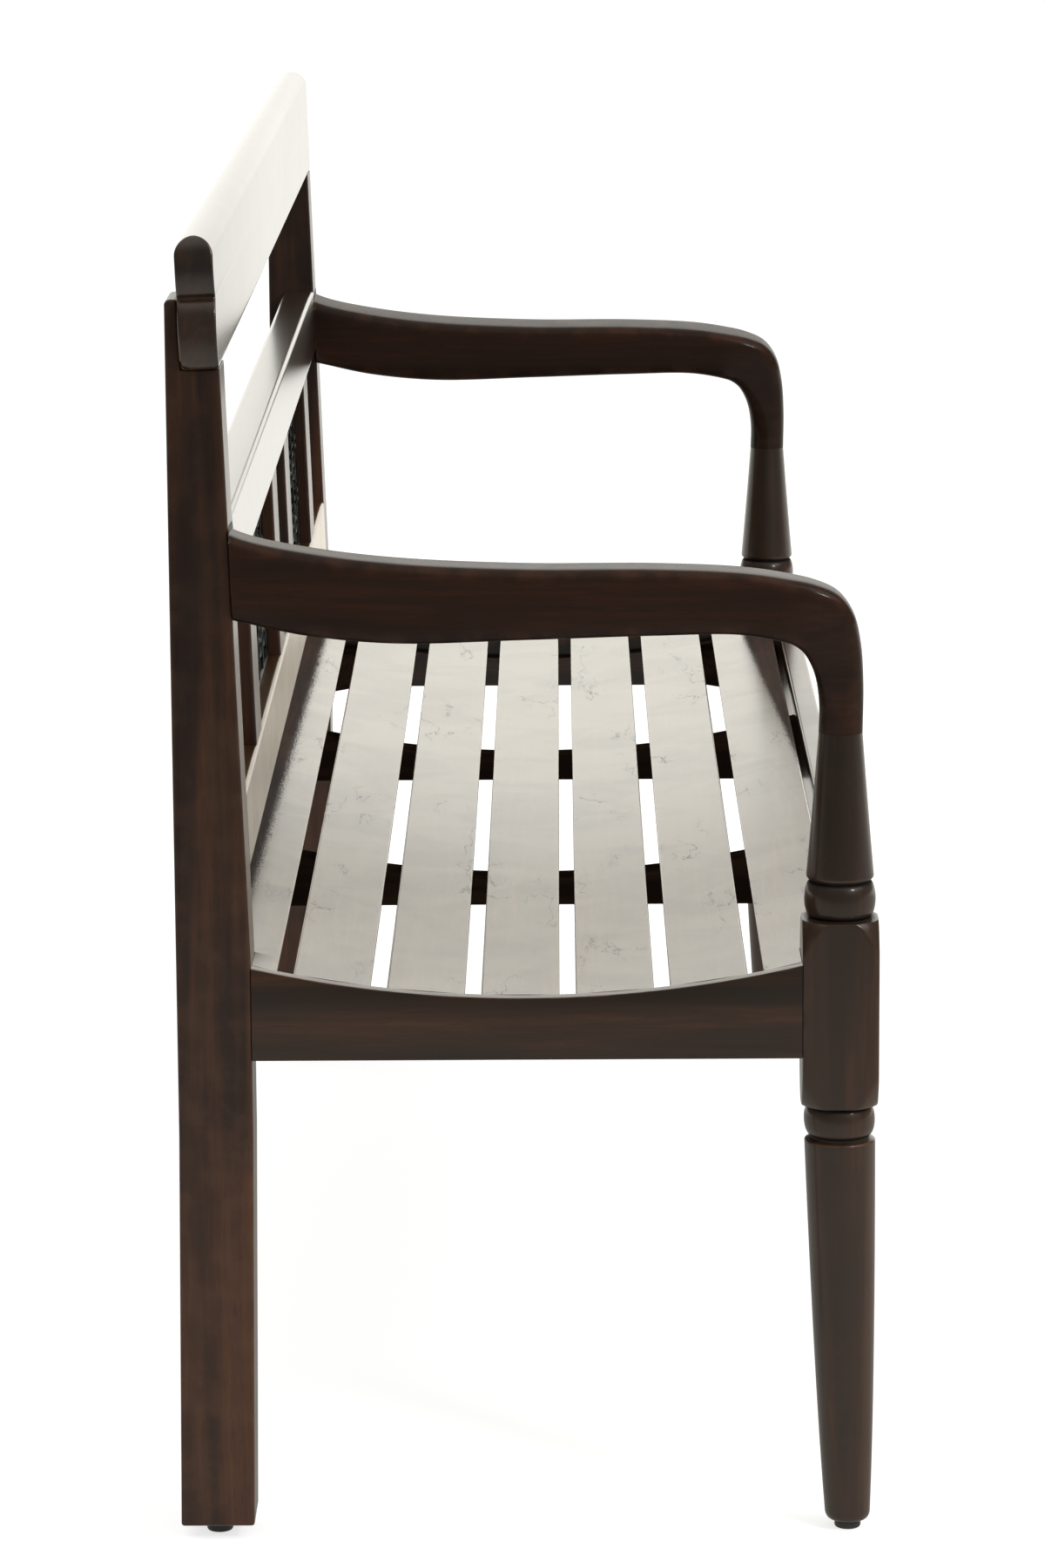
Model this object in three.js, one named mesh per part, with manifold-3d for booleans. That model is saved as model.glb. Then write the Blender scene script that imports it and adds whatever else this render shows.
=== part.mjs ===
// Deacons bench: a long slatted seat between turned front posts and raked back posts,
// with flat arms, a lobed crest rail and two pierced metal panels in the back.
// Millimetres. X runs along the bench, Y from front to back, Z up. The origin is on the floor at the centre.
import * as THREE from "three";
import { mergeVertices } from "three/addons/utils/BufferGeometryUtils.js";
import Module from "manifold-3d";

const wasm = await Module();
wasm.setup();

// Driving dimensions
const bench = { length: 1500, depth: 502 };
const fit = { gap: 0.3, overrun: 5 };
const joint = { tenonLength: 18, tenonThickness: 9, shoulder: 6 };

const backPost = {
  width: 53,
  thickness: 53,
  topThickness: 36.3,
  belowCrest: 45.4,
  footKick: 3.5,
  kickHeight: 300,
  rakeStart: 430,
  arris: 2,
};

const frontPost = {
  block: 54.7,
  blockBottom: 318.3,
  blockTop: 453.5,
  shoulderHeight: 45,
  shoulderRim: 49,
  toeDiameter: 33,
  toeFlat: 21,
  toeHeight: 8,
  legRimDiameter: 51,
  legSplay: 7.6,
  rimBevel: 3.6,
  neckDiameter: 43.5,
  beadDiameter: 51,
  lowerBeadHeight: 22.6,
  upperBeadHeight: 25.6,
  beadInset: 1.1,
  coneBevel: 3.2,
  coneDiameter: 48.4,
  sides: 16,
};

const arm = {
  width: 62,
  topShare: 0.5596,
  drop: 117.7,
  neck: 31.2,
  stations: 20,
  ringPoints: 14,
};

const crest = {
  thickness: 27,
  top: 944.4,
  height: 93.4,
  cuspShare: 0.535,
  lobeReach: 14,
  arris: 3,
  topSegments: 8,
};
const midRail = { thickness: 28, topShare: 0.6277, height: 56, arris: 3 };
const lowerRail = { thickness: 28, topShare: 0.2579, height: 56, arris: 3 };

const backSlat = { width: 70, thickness: 19, setback: 1.5, arris: 2, tenon: 10, tenonThickness: 8, tenonShoulder: 8 };
const panel = {
  width: 312,
  centre: 294,
  thickness: 6,
  setback: 11,
  tongue: 3,
  border: 4,
  columns: 6,
  rows: 3,
  wall: 3.6,
  loopHeight: 28,
  loopWidth: 19,
  linkHeight: 15,
  beadDiameter: 9,
  beadProud: 1,
  stemWidth: 4,
};

const seat = {
  low: 400.8,
  dishRadius: 860,
  railBottom: 356.4,
  slatCount: 7,
  slatGap: 11.4,
  slatThickness: 18.3,
  rearSpace: 17.7,
  frontSpace: 25.3,
  slatArris: 1.2,
};

const sideRail = { thickness: 22, lip: 10.5, arris: 1.5 };
const frontRail = { thickness: 19.5, top: 427, arris: 2.5 };
const backRail = { thickness: 19.5 };
const batten = { width: 30, offset: 252.4, bottom: 362, housing: 6 };
const cornerBlock = { reach: 48, height: 34, lift: 3 };

const glide = { diameter: 20, frontHeight: 6, backHeight: 10.3, arris: 1.5, nailDiameter: 4, nailLength: 18 };
const armDowel = { diameter: 12, length: 60 };
const rootDowel = { diameter: 10, length: 50, belowRailTop: 38 };
const screw = { diameter: 4, headDiameter: 8, headHeight: 3, length: 30, bite: 11, counterbore: 60 };
const crestScrew = { length: 26, headInset: 34, spacing: 24 };
const sidesOf = { dowel: 8, screw: 6, glide: 10, bead: 6 };

// Places that follow from the dimensions
const halfLength = bench.length / 2;
const halfDepth = bench.depth / 2;
const postRear = halfDepth - backPost.footKick;
const postFace = postRear - backPost.thickness;
const postTopFace = postRear - backPost.topThickness;
const postTop = crest.top - backPost.belowCrest;
const backPostInner = halfLength - backPost.width;
const backPostCentre = halfLength - backPost.width / 2;
const rake = Math.atan2(postTopFace - postFace, postTop - backPost.rakeStart);
const frontAxisX = halfLength - frontPost.block / 2;
const frontAxisY = -(halfDepth - frontPost.block / 2);
const frontFootY = frontAxisY - frontPost.legSplay;
const frontPostInner = halfLength - frontPost.block;
const frontPostRear = -(halfDepth - frontPost.block);
const dishCentre = seat.low + seat.dishRadius;
const bedRadius = seat.dishRadius + seat.slatThickness;
const slatPitch = (bench.depth - seat.rearSpace - seat.frontSpace + seat.slatGap) / seat.slatCount;
const slatWidth = slatPitch - seat.slatGap;
const slatShift = (seat.frontSpace - seat.rearSpace) / 2;
const backRise = crest.top - seat.low;
const midRailTop = seat.low + backRise * midRail.topShare;
const midRailBottom = midRailTop - midRail.height;
const lowerRailTop = seat.low + backRise * lowerRail.topShare;
const lowerRailBottom = lowerRailTop - lowerRail.height;
const armTop = seat.low + backRise * arm.topShare;
const armSeam = armTop - arm.drop;
const crestBottom = crest.top - crest.height;
const crestCusp = crestBottom + crest.height * crest.cuspShare;
const lowerNeck = frontPost.blockBottom - frontPost.beadInset;
const legNeck = lowerNeck - frontPost.lowerBeadHeight;
const upperNeck = frontPost.blockTop + frontPost.beadInset;
const coneNeck = upperNeck + frontPost.upperBeadHeight;
const frontRailInner = -(halfDepth - frontRail.thickness);
const backRailInner = postRear - backRail.thickness;
const lapFace = crest.thickness + fit.gap;

const xAxis = new THREE.Vector3(1, 0, 0);
const yAxis = new THREE.Vector3(0, 1, 0);
const zAxis = new THREE.Vector3(0, 0, 1);
const profileToX = new THREE.Matrix4().makeBasis(yAxis, zAxis, xAxis);
const profileToY = new THREE.Matrix4().makeBasis(xAxis, zAxis, yAxis.clone().negate());

// Solids from three.js geometry, and back
function signedVolume(positions, triangles) {
  let volume = 0;
  const corner = (index) => new THREE.Vector3().fromArray(positions, index * 3);
  for (let i = 0; i < triangles.length; i += 3) {
    const [a, b, c] = [corner(triangles[i]), corner(triangles[i + 1]), corner(triangles[i + 2])];
    volume += a.dot(b.cross(c));
  }
  return volume;
}

function solidFrom(geometry) {
  const bare = geometry.clone();
  bare.deleteAttribute("normal");
  bare.deleteAttribute("uv");
  const merged = mergeVertices(bare);
  const source = merged.index.array;
  const triangles = [];
  for (let i = 0; i < source.length; i += 3) {
    const [a, b, c] = [source[i], source[i + 1], source[i + 2]];
    if (a !== b && b !== c && c !== a) triangles.push(a, b, c);
  }
  const positions = Float32Array.from(merged.attributes.position.array);
  if (signedVolume(positions, triangles) < 0) triangles.reverse();
  const triVerts = Uint32Array.from(triangles);
  return new wasm.Manifold(new wasm.Mesh({ numProp: 3, vertProperties: positions, triVerts }));
}

function geometryFrom(solid) {
  const { vertProperties, triVerts, numProp } = solid.getMesh();
  const positions = new Float32Array((vertProperties.length / numProp) * 3);
  for (let i = 0; i < positions.length / 3; i += 1) {
    for (let axis = 0; axis < 3; axis += 1) positions[i * 3 + axis] = vertProperties[i * numProp + axis];
  }
  const geometry = new THREE.BufferGeometry();
  geometry.setAttribute("position", new THREE.BufferAttribute(positions, 3));
  geometry.setIndex(Array.from(triVerts));
  geometry.computeVertexNormals();
  return geometry;
}

function mirrored(geometry) {
  return geometryFrom(solidFrom(geometry.clone().scale(-1, 1, 1)));
}

function boxBetween(low, high) {
  const size = high.map((value, axis) => value - low[axis]);
  const centre = high.map((value, axis) => (value + low[axis]) / 2);
  return new THREE.BoxGeometry(...size).translate(...centre);
}

// A box and the slightly larger cutter that makes room for it
function spanOf(low, high) {
  return {
    body: () => boxBetween(low, high),
    cutter: () => boxBetween(low.map((value) => value - fit.gap), high.map((value) => value + fit.gap)),
  };
}

// Extrusions along each axis. A bevel cuts the rims of both end faces.
function extrude(shape, from, to, { bevel = 0, segments = 8 } = {}) {
  const geometry = new THREE.ExtrudeGeometry(shape, {
    depth: to - from - 2 * bevel,
    steps: 1,
    curveSegments: segments,
    bevelEnabled: bevel > 0,
    bevelThickness: bevel,
    bevelSize: bevel,
    bevelOffset: -bevel,
    bevelSegments: 1,
  });
  return geometry.translate(0, 0, from + bevel);
}

function extrudeX(shape, from, to, options) {
  return extrude(shape, from, to, options).applyMatrix4(profileToX);
}

function extrudeY(shape, from, to, options) {
  return extrude(shape, -to, -from, options).applyMatrix4(profileToY);
}

function polygon(points) {
  return new THREE.Shape(points.map(([u, v]) => new THREE.Vector2(u, v)));
}

function chamferedRectangle(left, bottom, right, top, cut) {
  return polygon([
    [left + cut, bottom],
    [right - cut, bottom],
    [right, bottom + cut],
    [right, top - cut],
    [right - cut, top],
    [left + cut, top],
    [left, top - cut],
    [left, bottom + cut],
  ]);
}

function revolve(points, sides) {
  const geometry = new THREE.LatheGeometry(points, sides);
  return geometry.rotateX(Math.PI / 2);
}

function rod(diameter, from, to, sides) {
  const length = to - from;
  const cylinder = new THREE.CylinderGeometry(diameter / 2, diameter / 2, length, sides);
  return cylinder.rotateX(Math.PI / 2).translate(0, 0, from + length / 2);
}

// The back leans: its pieces are drawn upright, with Y = 0 on the posts' front faces, and then tipped back
function lean(geometry) {
  geometry.translate(0, 0, -backPost.rakeStart);
  geometry.rotateX(-rake);
  return geometry.translate(0, postFace, backPost.rakeStart);
}

// The seat is dished: its pieces are drawn below the dish's axis and then swung to their place along the dish
function swing(geometry, angle) {
  return geometry.rotateX(angle).translate(0, 0, dishCentre);
}

function slatAngle(index) {
  const fromCentre = (seat.slatCount - 1) / 2 - index;
  return (slatShift + fromCentre * slatPitch) / seat.dishRadius;
}

// Fasteners and dowels
function screwGeometry(length, grow) {
  const radius = screw.diameter / 2 + grow;
  const headRadius = screw.headDiameter / 2 + grow;
  const tip = length + grow;
  return revolve([
    new THREE.Vector2(0, -grow),
    new THREE.Vector2(headRadius, -grow),
    new THREE.Vector2(radius, screw.headHeight),
    new THREE.Vector2(radius, tip - screw.diameter),
    new THREE.Vector2(0, tip),
  ], sidesOf.screw);
}

function screwCutter(length) {
  const counterbore = rod(screw.headDiameter + 2 * fit.gap, -screw.counterbore, 0, sidesOf.screw);
  return solidFrom(screwGeometry(length, fit.gap)).add(solidFrom(counterbore));
}

function slatScrewPlace(geometry, index, side) {
  const headFace = -(bedRadius - screw.bite) - screw.length;
  return swing(geometry.translate(side * batten.offset, 0, headFace), slatAngle(index));
}

function crestScrewPlace(geometry, level, side) {
  const height = (crestBottom + postTop) / 2 + level * crestScrew.spacing / 2;
  geometry.rotateX(Math.PI / 2);
  return lean(geometry.translate(side * backPostCentre, crestScrew.headInset, height));
}

function rootDowelGeometry(grow) {
  const radiusGrown = rootDowel.diameter + 2 * grow;
  const half = rootDowel.length / 2 + grow;
  const height = midRailTop - rootDowel.belowRailTop;
  const geometry = rod(radiusGrown, -half, half, sidesOf.dowel).rotateX(Math.PI / 2);
  return lean(geometry.translate(backPostCentre, 0, height));
}

function armDowelGeometry(grow) {
  const half = armDowel.length / 2 + grow;
  return rod(armDowel.diameter + 2 * grow, armSeam - half, armSeam + half, sidesOf.dowel)
    .translate(frontAxisX, frontAxisY, 0);
}

function nailCutter(x, y, glideHeight) {
  const top = glideHeight + glide.nailLength + fit.gap;
  return solidFrom(rod(glide.nailDiameter + 2 * fit.gap, 0, top, sidesOf.dowel).translate(x, y, 0));
}

// Tenons: each rail's tenon runs the whole length, so that both ends are one box
const frontTenon = (() => {
  const middle = -(halfDepth - frontRail.thickness / 2);
  const reach = frontPostInner + joint.tenonLength;
  return spanOf(
    [-reach, middle - joint.tenonThickness / 2, seat.railBottom + joint.shoulder],
    [reach, middle + joint.tenonThickness / 2, frontRail.top - 2 * joint.shoulder],
  );
})();

const backTenon = (() => {
  const middle = postRear - backRail.thickness / 2;
  const reach = backPostInner + joint.tenonLength;
  return spanOf(
    [-reach, middle - joint.tenonThickness / 2, seat.railBottom + joint.shoulder],
    [reach, middle + joint.tenonThickness / 2, seat.low],
  );
})();

const sideTenon = (() => {
  const middle = halfLength - sideRail.thickness / 2 - fit.gap;
  return spanOf(
    [middle - joint.tenonThickness / 2, frontPostRear - joint.tenonLength, seat.railBottom + joint.shoulder],
    [middle + joint.tenonThickness / 2, postFace + joint.tenonLength, seat.low - seat.slatThickness - joint.shoulder],
  );
})();

function backRailTenon(rail, bottom, top) {
  const middle = rail.thickness / 2;
  const reach = backPostInner + joint.tenonLength;
  return spanOf(
    [-reach, middle - joint.tenonThickness / 2, bottom + joint.shoulder],
    [reach, middle + joint.tenonThickness / 2, top - joint.shoulder],
  );
}
const midTenon = backRailTenon(midRail, midRailBottom, midRailTop);
const lowerTenon = backRailTenon(lowerRail, lowerRailBottom, lowerRailTop);

// Back posts: straight behind, kicked at the foot, raked in front above the seat
function backPostSolid() {
  const footTop = glide.backHeight + fit.gap;
  const profile = polygon([
    [halfDepth - backPost.thickness, footTop],
    [halfDepth, footTop],
    [postRear, backPost.kickHeight],
    [postRear, postTop],
    [postTopFace, postTop],
    [postFace, backPost.rakeStart],
    [postFace, backPost.kickHeight],
  ]);
  const lapCutter = boxBetween(
    [backPostInner - fit.overrun, -fit.overrun, crestBottom - fit.gap],
    [halfLength + fit.overrun, lapFace, postTop + fit.overrun],
  );
  let post = solidFrom(extrudeX(profile, backPostInner, halfLength, { bevel: backPost.arris }));
  const cutters = [
    lean(lapCutter),
    lean(midTenon.cutter()),
    lean(lowerTenon.cutter()),
    backTenon.cutter(),
    sideTenon.cutter(),
    rootDowelGeometry(fit.gap),
  ];
  for (const cutter of cutters) post = post.subtract(solidFrom(cutter));
  for (const level of [-1, 1]) {
    const hole = geometryFrom(screwCutter(crestScrew.length));
    post = post.subtract(solidFrom(crestScrewPlace(hole, level, 1)));
  }
  return post.subtract(nailCutter(backPostCentre, halfDepth - backPost.thickness / 2, glide.backHeight));
}

// Front posts: one turning from toe to seam, kept square where the seat rails meet it
function bead(path, bottom, height, neckRadius, beadRadius) {
  path.lineTo(neckRadius, bottom);
  path.absellipse(neckRadius, bottom + height / 2, beadRadius - neckRadius, height / 2, -Math.PI / 2, Math.PI / 2);
}

function frontPostProfile() {
  const corner = frontPost.block * Math.SQRT1_2 + fit.gap;
  const rim = frontPost.shoulderRim / 2;
  const neck = frontPost.neckDiameter / 2;
  const beadRadius = frontPost.beadDiameter / 2;
  const toe = frontPost.toeDiameter / 2;
  const legRim = frontPost.legRimDiameter / 2;
  const cone = frontPost.coneDiameter / 2;
  const foot = glide.frontHeight + fit.gap;
  const top = armSeam - fit.gap;
  const toeTop = foot + frontPost.toeHeight;
  const rimHeight = legNeck - frontPost.rimBevel;
  const coneBottom = coneNeck + frontPost.coneBevel;
  const legSwellShares = [0.6, 0.33];
  const coneSwellShares = [0.55, 0.5];
  const shoulderShares = [0.4, 0.18];

  const path = new THREE.Path();
  path.moveTo(0, foot);
  path.lineTo(frontPost.toeFlat / 2, foot);
  path.quadraticCurveTo(toe, foot, toe, toeTop);
  path.quadraticCurveTo(
    toe + (legRim - toe) * legSwellShares[0],
    toeTop + (rimHeight - toeTop) * legSwellShares[1],
    legRim,
    rimHeight,
  );
  bead(path, legNeck, frontPost.lowerBeadHeight, neck, beadRadius);
  path.lineTo(rim, frontPost.blockBottom);
  path.quadraticCurveTo(
    rim + (corner - rim) * shoulderShares[0],
    frontPost.blockBottom + frontPost.shoulderHeight * shoulderShares[1],
    corner,
    frontPost.blockBottom + frontPost.shoulderHeight,
  );
  path.lineTo(corner, frontPost.blockTop - frontPost.shoulderHeight);
  path.quadraticCurveTo(
    rim + (corner - rim) * shoulderShares[0],
    frontPost.blockTop - frontPost.shoulderHeight * shoulderShares[1],
    rim,
    frontPost.blockTop,
  );
  bead(path, upperNeck, frontPost.upperBeadHeight, neck, beadRadius);
  path.lineTo(cone, coneBottom);
  path.quadraticCurveTo(
    cone + (arm.neck / 2 - cone) * coneSwellShares[0],
    coneBottom + (top - coneBottom) * coneSwellShares[1],
    arm.neck / 2,
    top,
  );
  path.lineTo(0, top);
  return path.getPoints(3);
}

// The leg leans forward below the block: every level moves by its depth under the block
function splayed(geometry) {
  const position = geometry.getAttribute("position");
  const foot = glide.frontHeight + fit.gap;
  for (let i = 0; i < position.count; i += 1) {
    const below = Math.max(frontPost.blockBottom - position.getZ(i), 0);
    const share = below / (frontPost.blockBottom - foot);
    position.setY(i, position.getY(i) - frontPost.legSplay * share);
  }
  return geometry;
}

function frontPostSolid() {
  const turned = revolve(frontPostProfile(), frontPost.sides).translate(frontAxisX, frontAxisY, 0);
  const square = boxBetween(
    [frontPostInner, -halfDepth, lowerNeck],
    [halfLength, frontPostRear, armSeam],
  );
  const belowBlock = boxBetween(
    [frontPostInner, -halfDepth - frontPost.block, 0],
    [halfLength, frontPostRear, lowerNeck],
  );
  let post = solidFrom(splayed(turned)).intersect(solidFrom(square).add(solidFrom(belowBlock)));
  for (const cutter of [frontTenon.cutter(), sideTenon.cutter(), armDowelGeometry(fit.gap)]) {
    post = post.subtract(solidFrom(cutter));
  }
  return post.subtract(nailCutter(frontAxisX, frontFootY, glide.frontHeight));
}

// Arms: a loft from the raised root at the back post to the round neck on the front post.
// Each row holds the outer edge's place and height, the inner edge's, and the width.
// Along the arm, places are shares of its reach. Round the knuckle, they are shares of the neck's diameter.
const armReachShares = [
  [1.03, 1.27, 1.03, 0.752, 1],
  [0.98, 1.19, 0.98, 0.71, 1],
  [0.88, 1.11, 0.88, 0.631, 1],
  [0.735, 1.043, 0.735, 0.58, 1],
  [0.52, 1.004, 0.52, 0.597, 1],
  [0.31, 1, 0.31, 0.619, 1],
  [0.167, 0.976, 0.167, 0.622, 1],
];
const armKnuckleShares = [
  [1.3, 0.94, 1.3, 0.575, 0.99],
  [0.58, 0.9, 1.1, 0.553, 0.93],
  [0.06, 0.838, 0.88, 0.505, 0.85],
  [-0.27, 0.725, 0.69, 0.42, 0.75],
  [-0.44, 0.55, 0.56, 0.315, 0.65],
  [-0.51, 0.3, 0.49, 0.17, 0.56],
  [-0.5, 0, 0.5, 0, 0.503],
];

function armStations() {
  const reach = postFace + (armTop - backPost.rakeStart) * Math.tan(rake) - frontAxisY;
  const rise = armTop - armSeam;
  const seam = armSeam + fit.gap;
  const stationsFrom = (rows, unit) => rows.map(([outerY, outerZ, innerY, innerZ, width]) => ({
    outer: new THREE.Vector3(width * arm.width, frontAxisY + outerY * unit, seam + outerZ * rise),
    inner: new THREE.Vector3(width * arm.width, frontAxisY + innerY * unit, seam + innerZ * rise),
  }));
  return [...stationsFrom(armReachShares, reach), ...stationsFrom(armKnuckleShares, arm.neck)];
}

function armRing(outer, inner) {
  const width = outer.x / 2;
  const centre = outer.clone().add(inner).multiplyScalar(0.5).setX(frontAxisX);
  const half = outer.clone().sub(inner).multiplyScalar(0.5).setX(0);
  const squareness = THREE.MathUtils.clamp((2 * width - arm.neck) / (arm.width - arm.neck), 0, 1);
  const power = 2 / THREE.MathUtils.lerp(2, 5, squareness);
  const ring = [];
  for (let i = 0; i < arm.ringPoints; i += 1) {
    const turn = (2 * Math.PI * (i + 0.5)) / arm.ringPoints;
    const across = Math.sign(Math.cos(turn)) * Math.abs(Math.cos(turn)) ** power;
    const up = Math.sign(Math.sin(turn)) * Math.abs(Math.sin(turn)) ** power;
    ring.push(centre.clone().addScaledVector(xAxis, across * width).addScaledVector(half, up));
  }
  return ring;
}

function loft(rings) {
  const count = rings[0].length;
  const centreOf = (ring) => ring.reduce((sum, point) => sum.add(point), new THREE.Vector3()).divideScalar(count);
  const points = [...rings.flat(), centreOf(rings[0]), centreOf(rings.at(-1))];
  const startCap = rings.length * count;
  const index = [];
  for (let i = 0; i < count; i += 1) {
    const next = (i + 1) % count;
    for (let k = 0; k + 1 < rings.length; k += 1) {
      const here = k * count;
      const ahead = here + count;
      index.push(here + i, here + next, ahead + i, ahead + i, here + next, ahead + next);
    }
    const lastRing = startCap - count;
    index.push(startCap, next, i, startCap + 1, lastRing + i, lastRing + next);
  }
  const geometry = new THREE.BufferGeometry();
  geometry.setAttribute("position", new THREE.Float32BufferAttribute(points.flatMap((p) => p.toArray()), 3));
  geometry.setIndex(index);
  return geometry;
}

function armSolid() {
  const stations = armStations();
  const outerEdge = new THREE.CatmullRomCurve3(stations.map((station) => station.outer));
  const innerEdge = new THREE.CatmullRomCurve3(stations.map((station) => station.inner));
  const rings = [];
  for (let i = 0; i <= arm.stations; i += 1) {
    const share = i / arm.stations;
    rings.push(armRing(outerEdge.getPoint(share), innerEdge.getPoint(share)));
  }
  const behindFace = lean(boxBetween(
    [halfLength - arm.width * 2, -fit.gap, midRailBottom - arm.width],
    [halfLength + arm.width, arm.width, midRailTop + arm.width],
  ));
  return solidFrom(loft(rings))
    .subtract(solidFrom(behindFace))
    .subtract(solidFrom(rootDowelGeometry(fit.gap)))
    .subtract(solidFrom(armDowelGeometry(fit.gap)));
}

// Crest rail: a round-topped board with two lobes carved on each end
function crestSolid() {
  const half = crest.thickness / 2;
  const profile = new THREE.Shape();
  profile.moveTo(crest.arris, crestBottom);
  profile.lineTo(crest.thickness - crest.arris, crestBottom);
  profile.lineTo(crest.thickness, crestBottom + crest.arris);
  profile.lineTo(crest.thickness, crest.top - half);
  profile.absarc(half, crest.top - half, half, 0, Math.PI, false);
  profile.lineTo(0, crestBottom + crest.arris);

  const lobe = (outline, side, from, to) => {
    const reach = side * (halfLength + crest.lobeReach);
    outline.bezierCurveTo(reach, from, reach, to, side * halfLength, to);
  };
  const outline = new THREE.Shape();
  outline.moveTo(-halfLength, crestBottom);
  outline.lineTo(halfLength, crestBottom);
  lobe(outline, 1, crestBottom, crestCusp);
  lobe(outline, 1, crestCusp, crest.top);
  outline.lineTo(-halfLength, crest.top);
  lobe(outline, -1, crest.top, crestCusp);
  lobe(outline, -1, crestCusp, crestBottom);

  const reach = halfLength + 2 * crest.lobeReach;
  const board = extrudeX(profile, -reach, reach, { segments: crest.topSegments });
  const ends = extrudeY(outline, -fit.overrun, crest.thickness + fit.overrun, { segments: crest.topSegments });
  let rail = solidFrom(lean(board)).intersect(solidFrom(lean(ends)));
  for (const side of [-1, 1]) {
    for (const level of [-1, 1]) {
      const hole = screwGeometry(crestScrew.length, fit.gap);
      rail = rail.subtract(solidFrom(crestScrewPlace(hole, level, side)));
    }
  }
  return rail;
}

// Back slats: two round each pierced panel, tenoned into both rails
const slatPlaces = [-1, 1].flatMap((side) => [-1, 1].map((edge) => (
  side * panel.centre + edge * (panel.width + backSlat.width) / 2
)));

function backSlatTenon(x) {
  const middle = backSlat.setback + backSlat.thickness / 2;
  const halfWidth = backSlat.width / 2 - backSlat.tenonShoulder;
  return spanOf(
    [x - halfWidth, middle - backSlat.tenonThickness / 2, lowerRailTop - backSlat.tenon],
    [x + halfWidth, middle + backSlat.tenonThickness / 2, midRailBottom + backSlat.tenon],
  );
}

function panelGroove(side) {
  const reach = panel.width / 2 + panel.tongue + fit.gap;
  return boxBetween(
    [side * panel.centre - reach, panel.setback - fit.gap, lowerRailTop - fit.overrun],
    [side * panel.centre + reach, panel.setback + panel.thickness + fit.gap, midRailBottom + fit.overrun],
  );
}

function backSlatSolid(x) {
  const rear = backSlat.setback + backSlat.thickness;
  const half = backSlat.width / 2;
  const section = chamferedRectangle(x - half, backSlat.setback, x + half, rear, backSlat.arris);
  const board = extrude(section, lowerRailTop + fit.gap, midRailBottom - fit.gap);
  return solidFrom(lean(board))
    .subtract(solidFrom(lean(panelGroove(Math.sign(x)))))
    .add(solidFrom(lean(backSlatTenon(x).body())));
}

// Rails of the back, with a mortise for each slat
function backRailSolid(rail, bottom, top, tenon) {
  const profile = chamferedRectangle(0, bottom, rail.thickness, top, rail.arris);
  const reach = backPostInner - fit.gap;
  let solid = solidFrom(lean(extrudeX(profile, -reach, reach))).add(solidFrom(lean(tenon.body())));
  for (const x of slatPlaces) solid = solid.subtract(solidFrom(lean(backSlatTenon(x).cutter())));
  return solid;
}

// Pierced panels: rows of pointed loops, joined by links, stems and beads, in a thin border
function almond(x, z, halfWidth, halfHeight, upright) {
  const path = new THREE.Path();
  if (upright) {
    path.moveTo(x, z - halfHeight);
    path.quadraticCurveTo(x + 2 * halfWidth, z, x, z + halfHeight);
    path.quadraticCurveTo(x - 2 * halfWidth, z, x, z - halfHeight);
  } else {
    path.moveTo(x - halfWidth, z);
    path.quadraticCurveTo(x, z - 2 * halfHeight, x + halfWidth, z);
    path.quadraticCurveTo(x, z + 2 * halfHeight, x - halfWidth, z);
  }
  return path;
}

function almondRing(x, z, halfWidth, halfHeight, upright) {
  const ring = new THREE.Shape(almond(x, z, halfWidth, halfHeight, upright).getPoints(upright ? 3 : 2));
  const tipCut = panel.wall * 2;
  const holeWidth = halfWidth - (upright ? panel.wall : tipCut);
  const holeHeight = halfHeight - (upright ? tipCut : panel.wall);
  ring.holes.push(new THREE.Path(almond(x, z, holeWidth, holeHeight, upright).getPoints(2)));
  return extrudeY(ring, panel.setback, panel.setback + panel.thickness);
}

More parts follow.
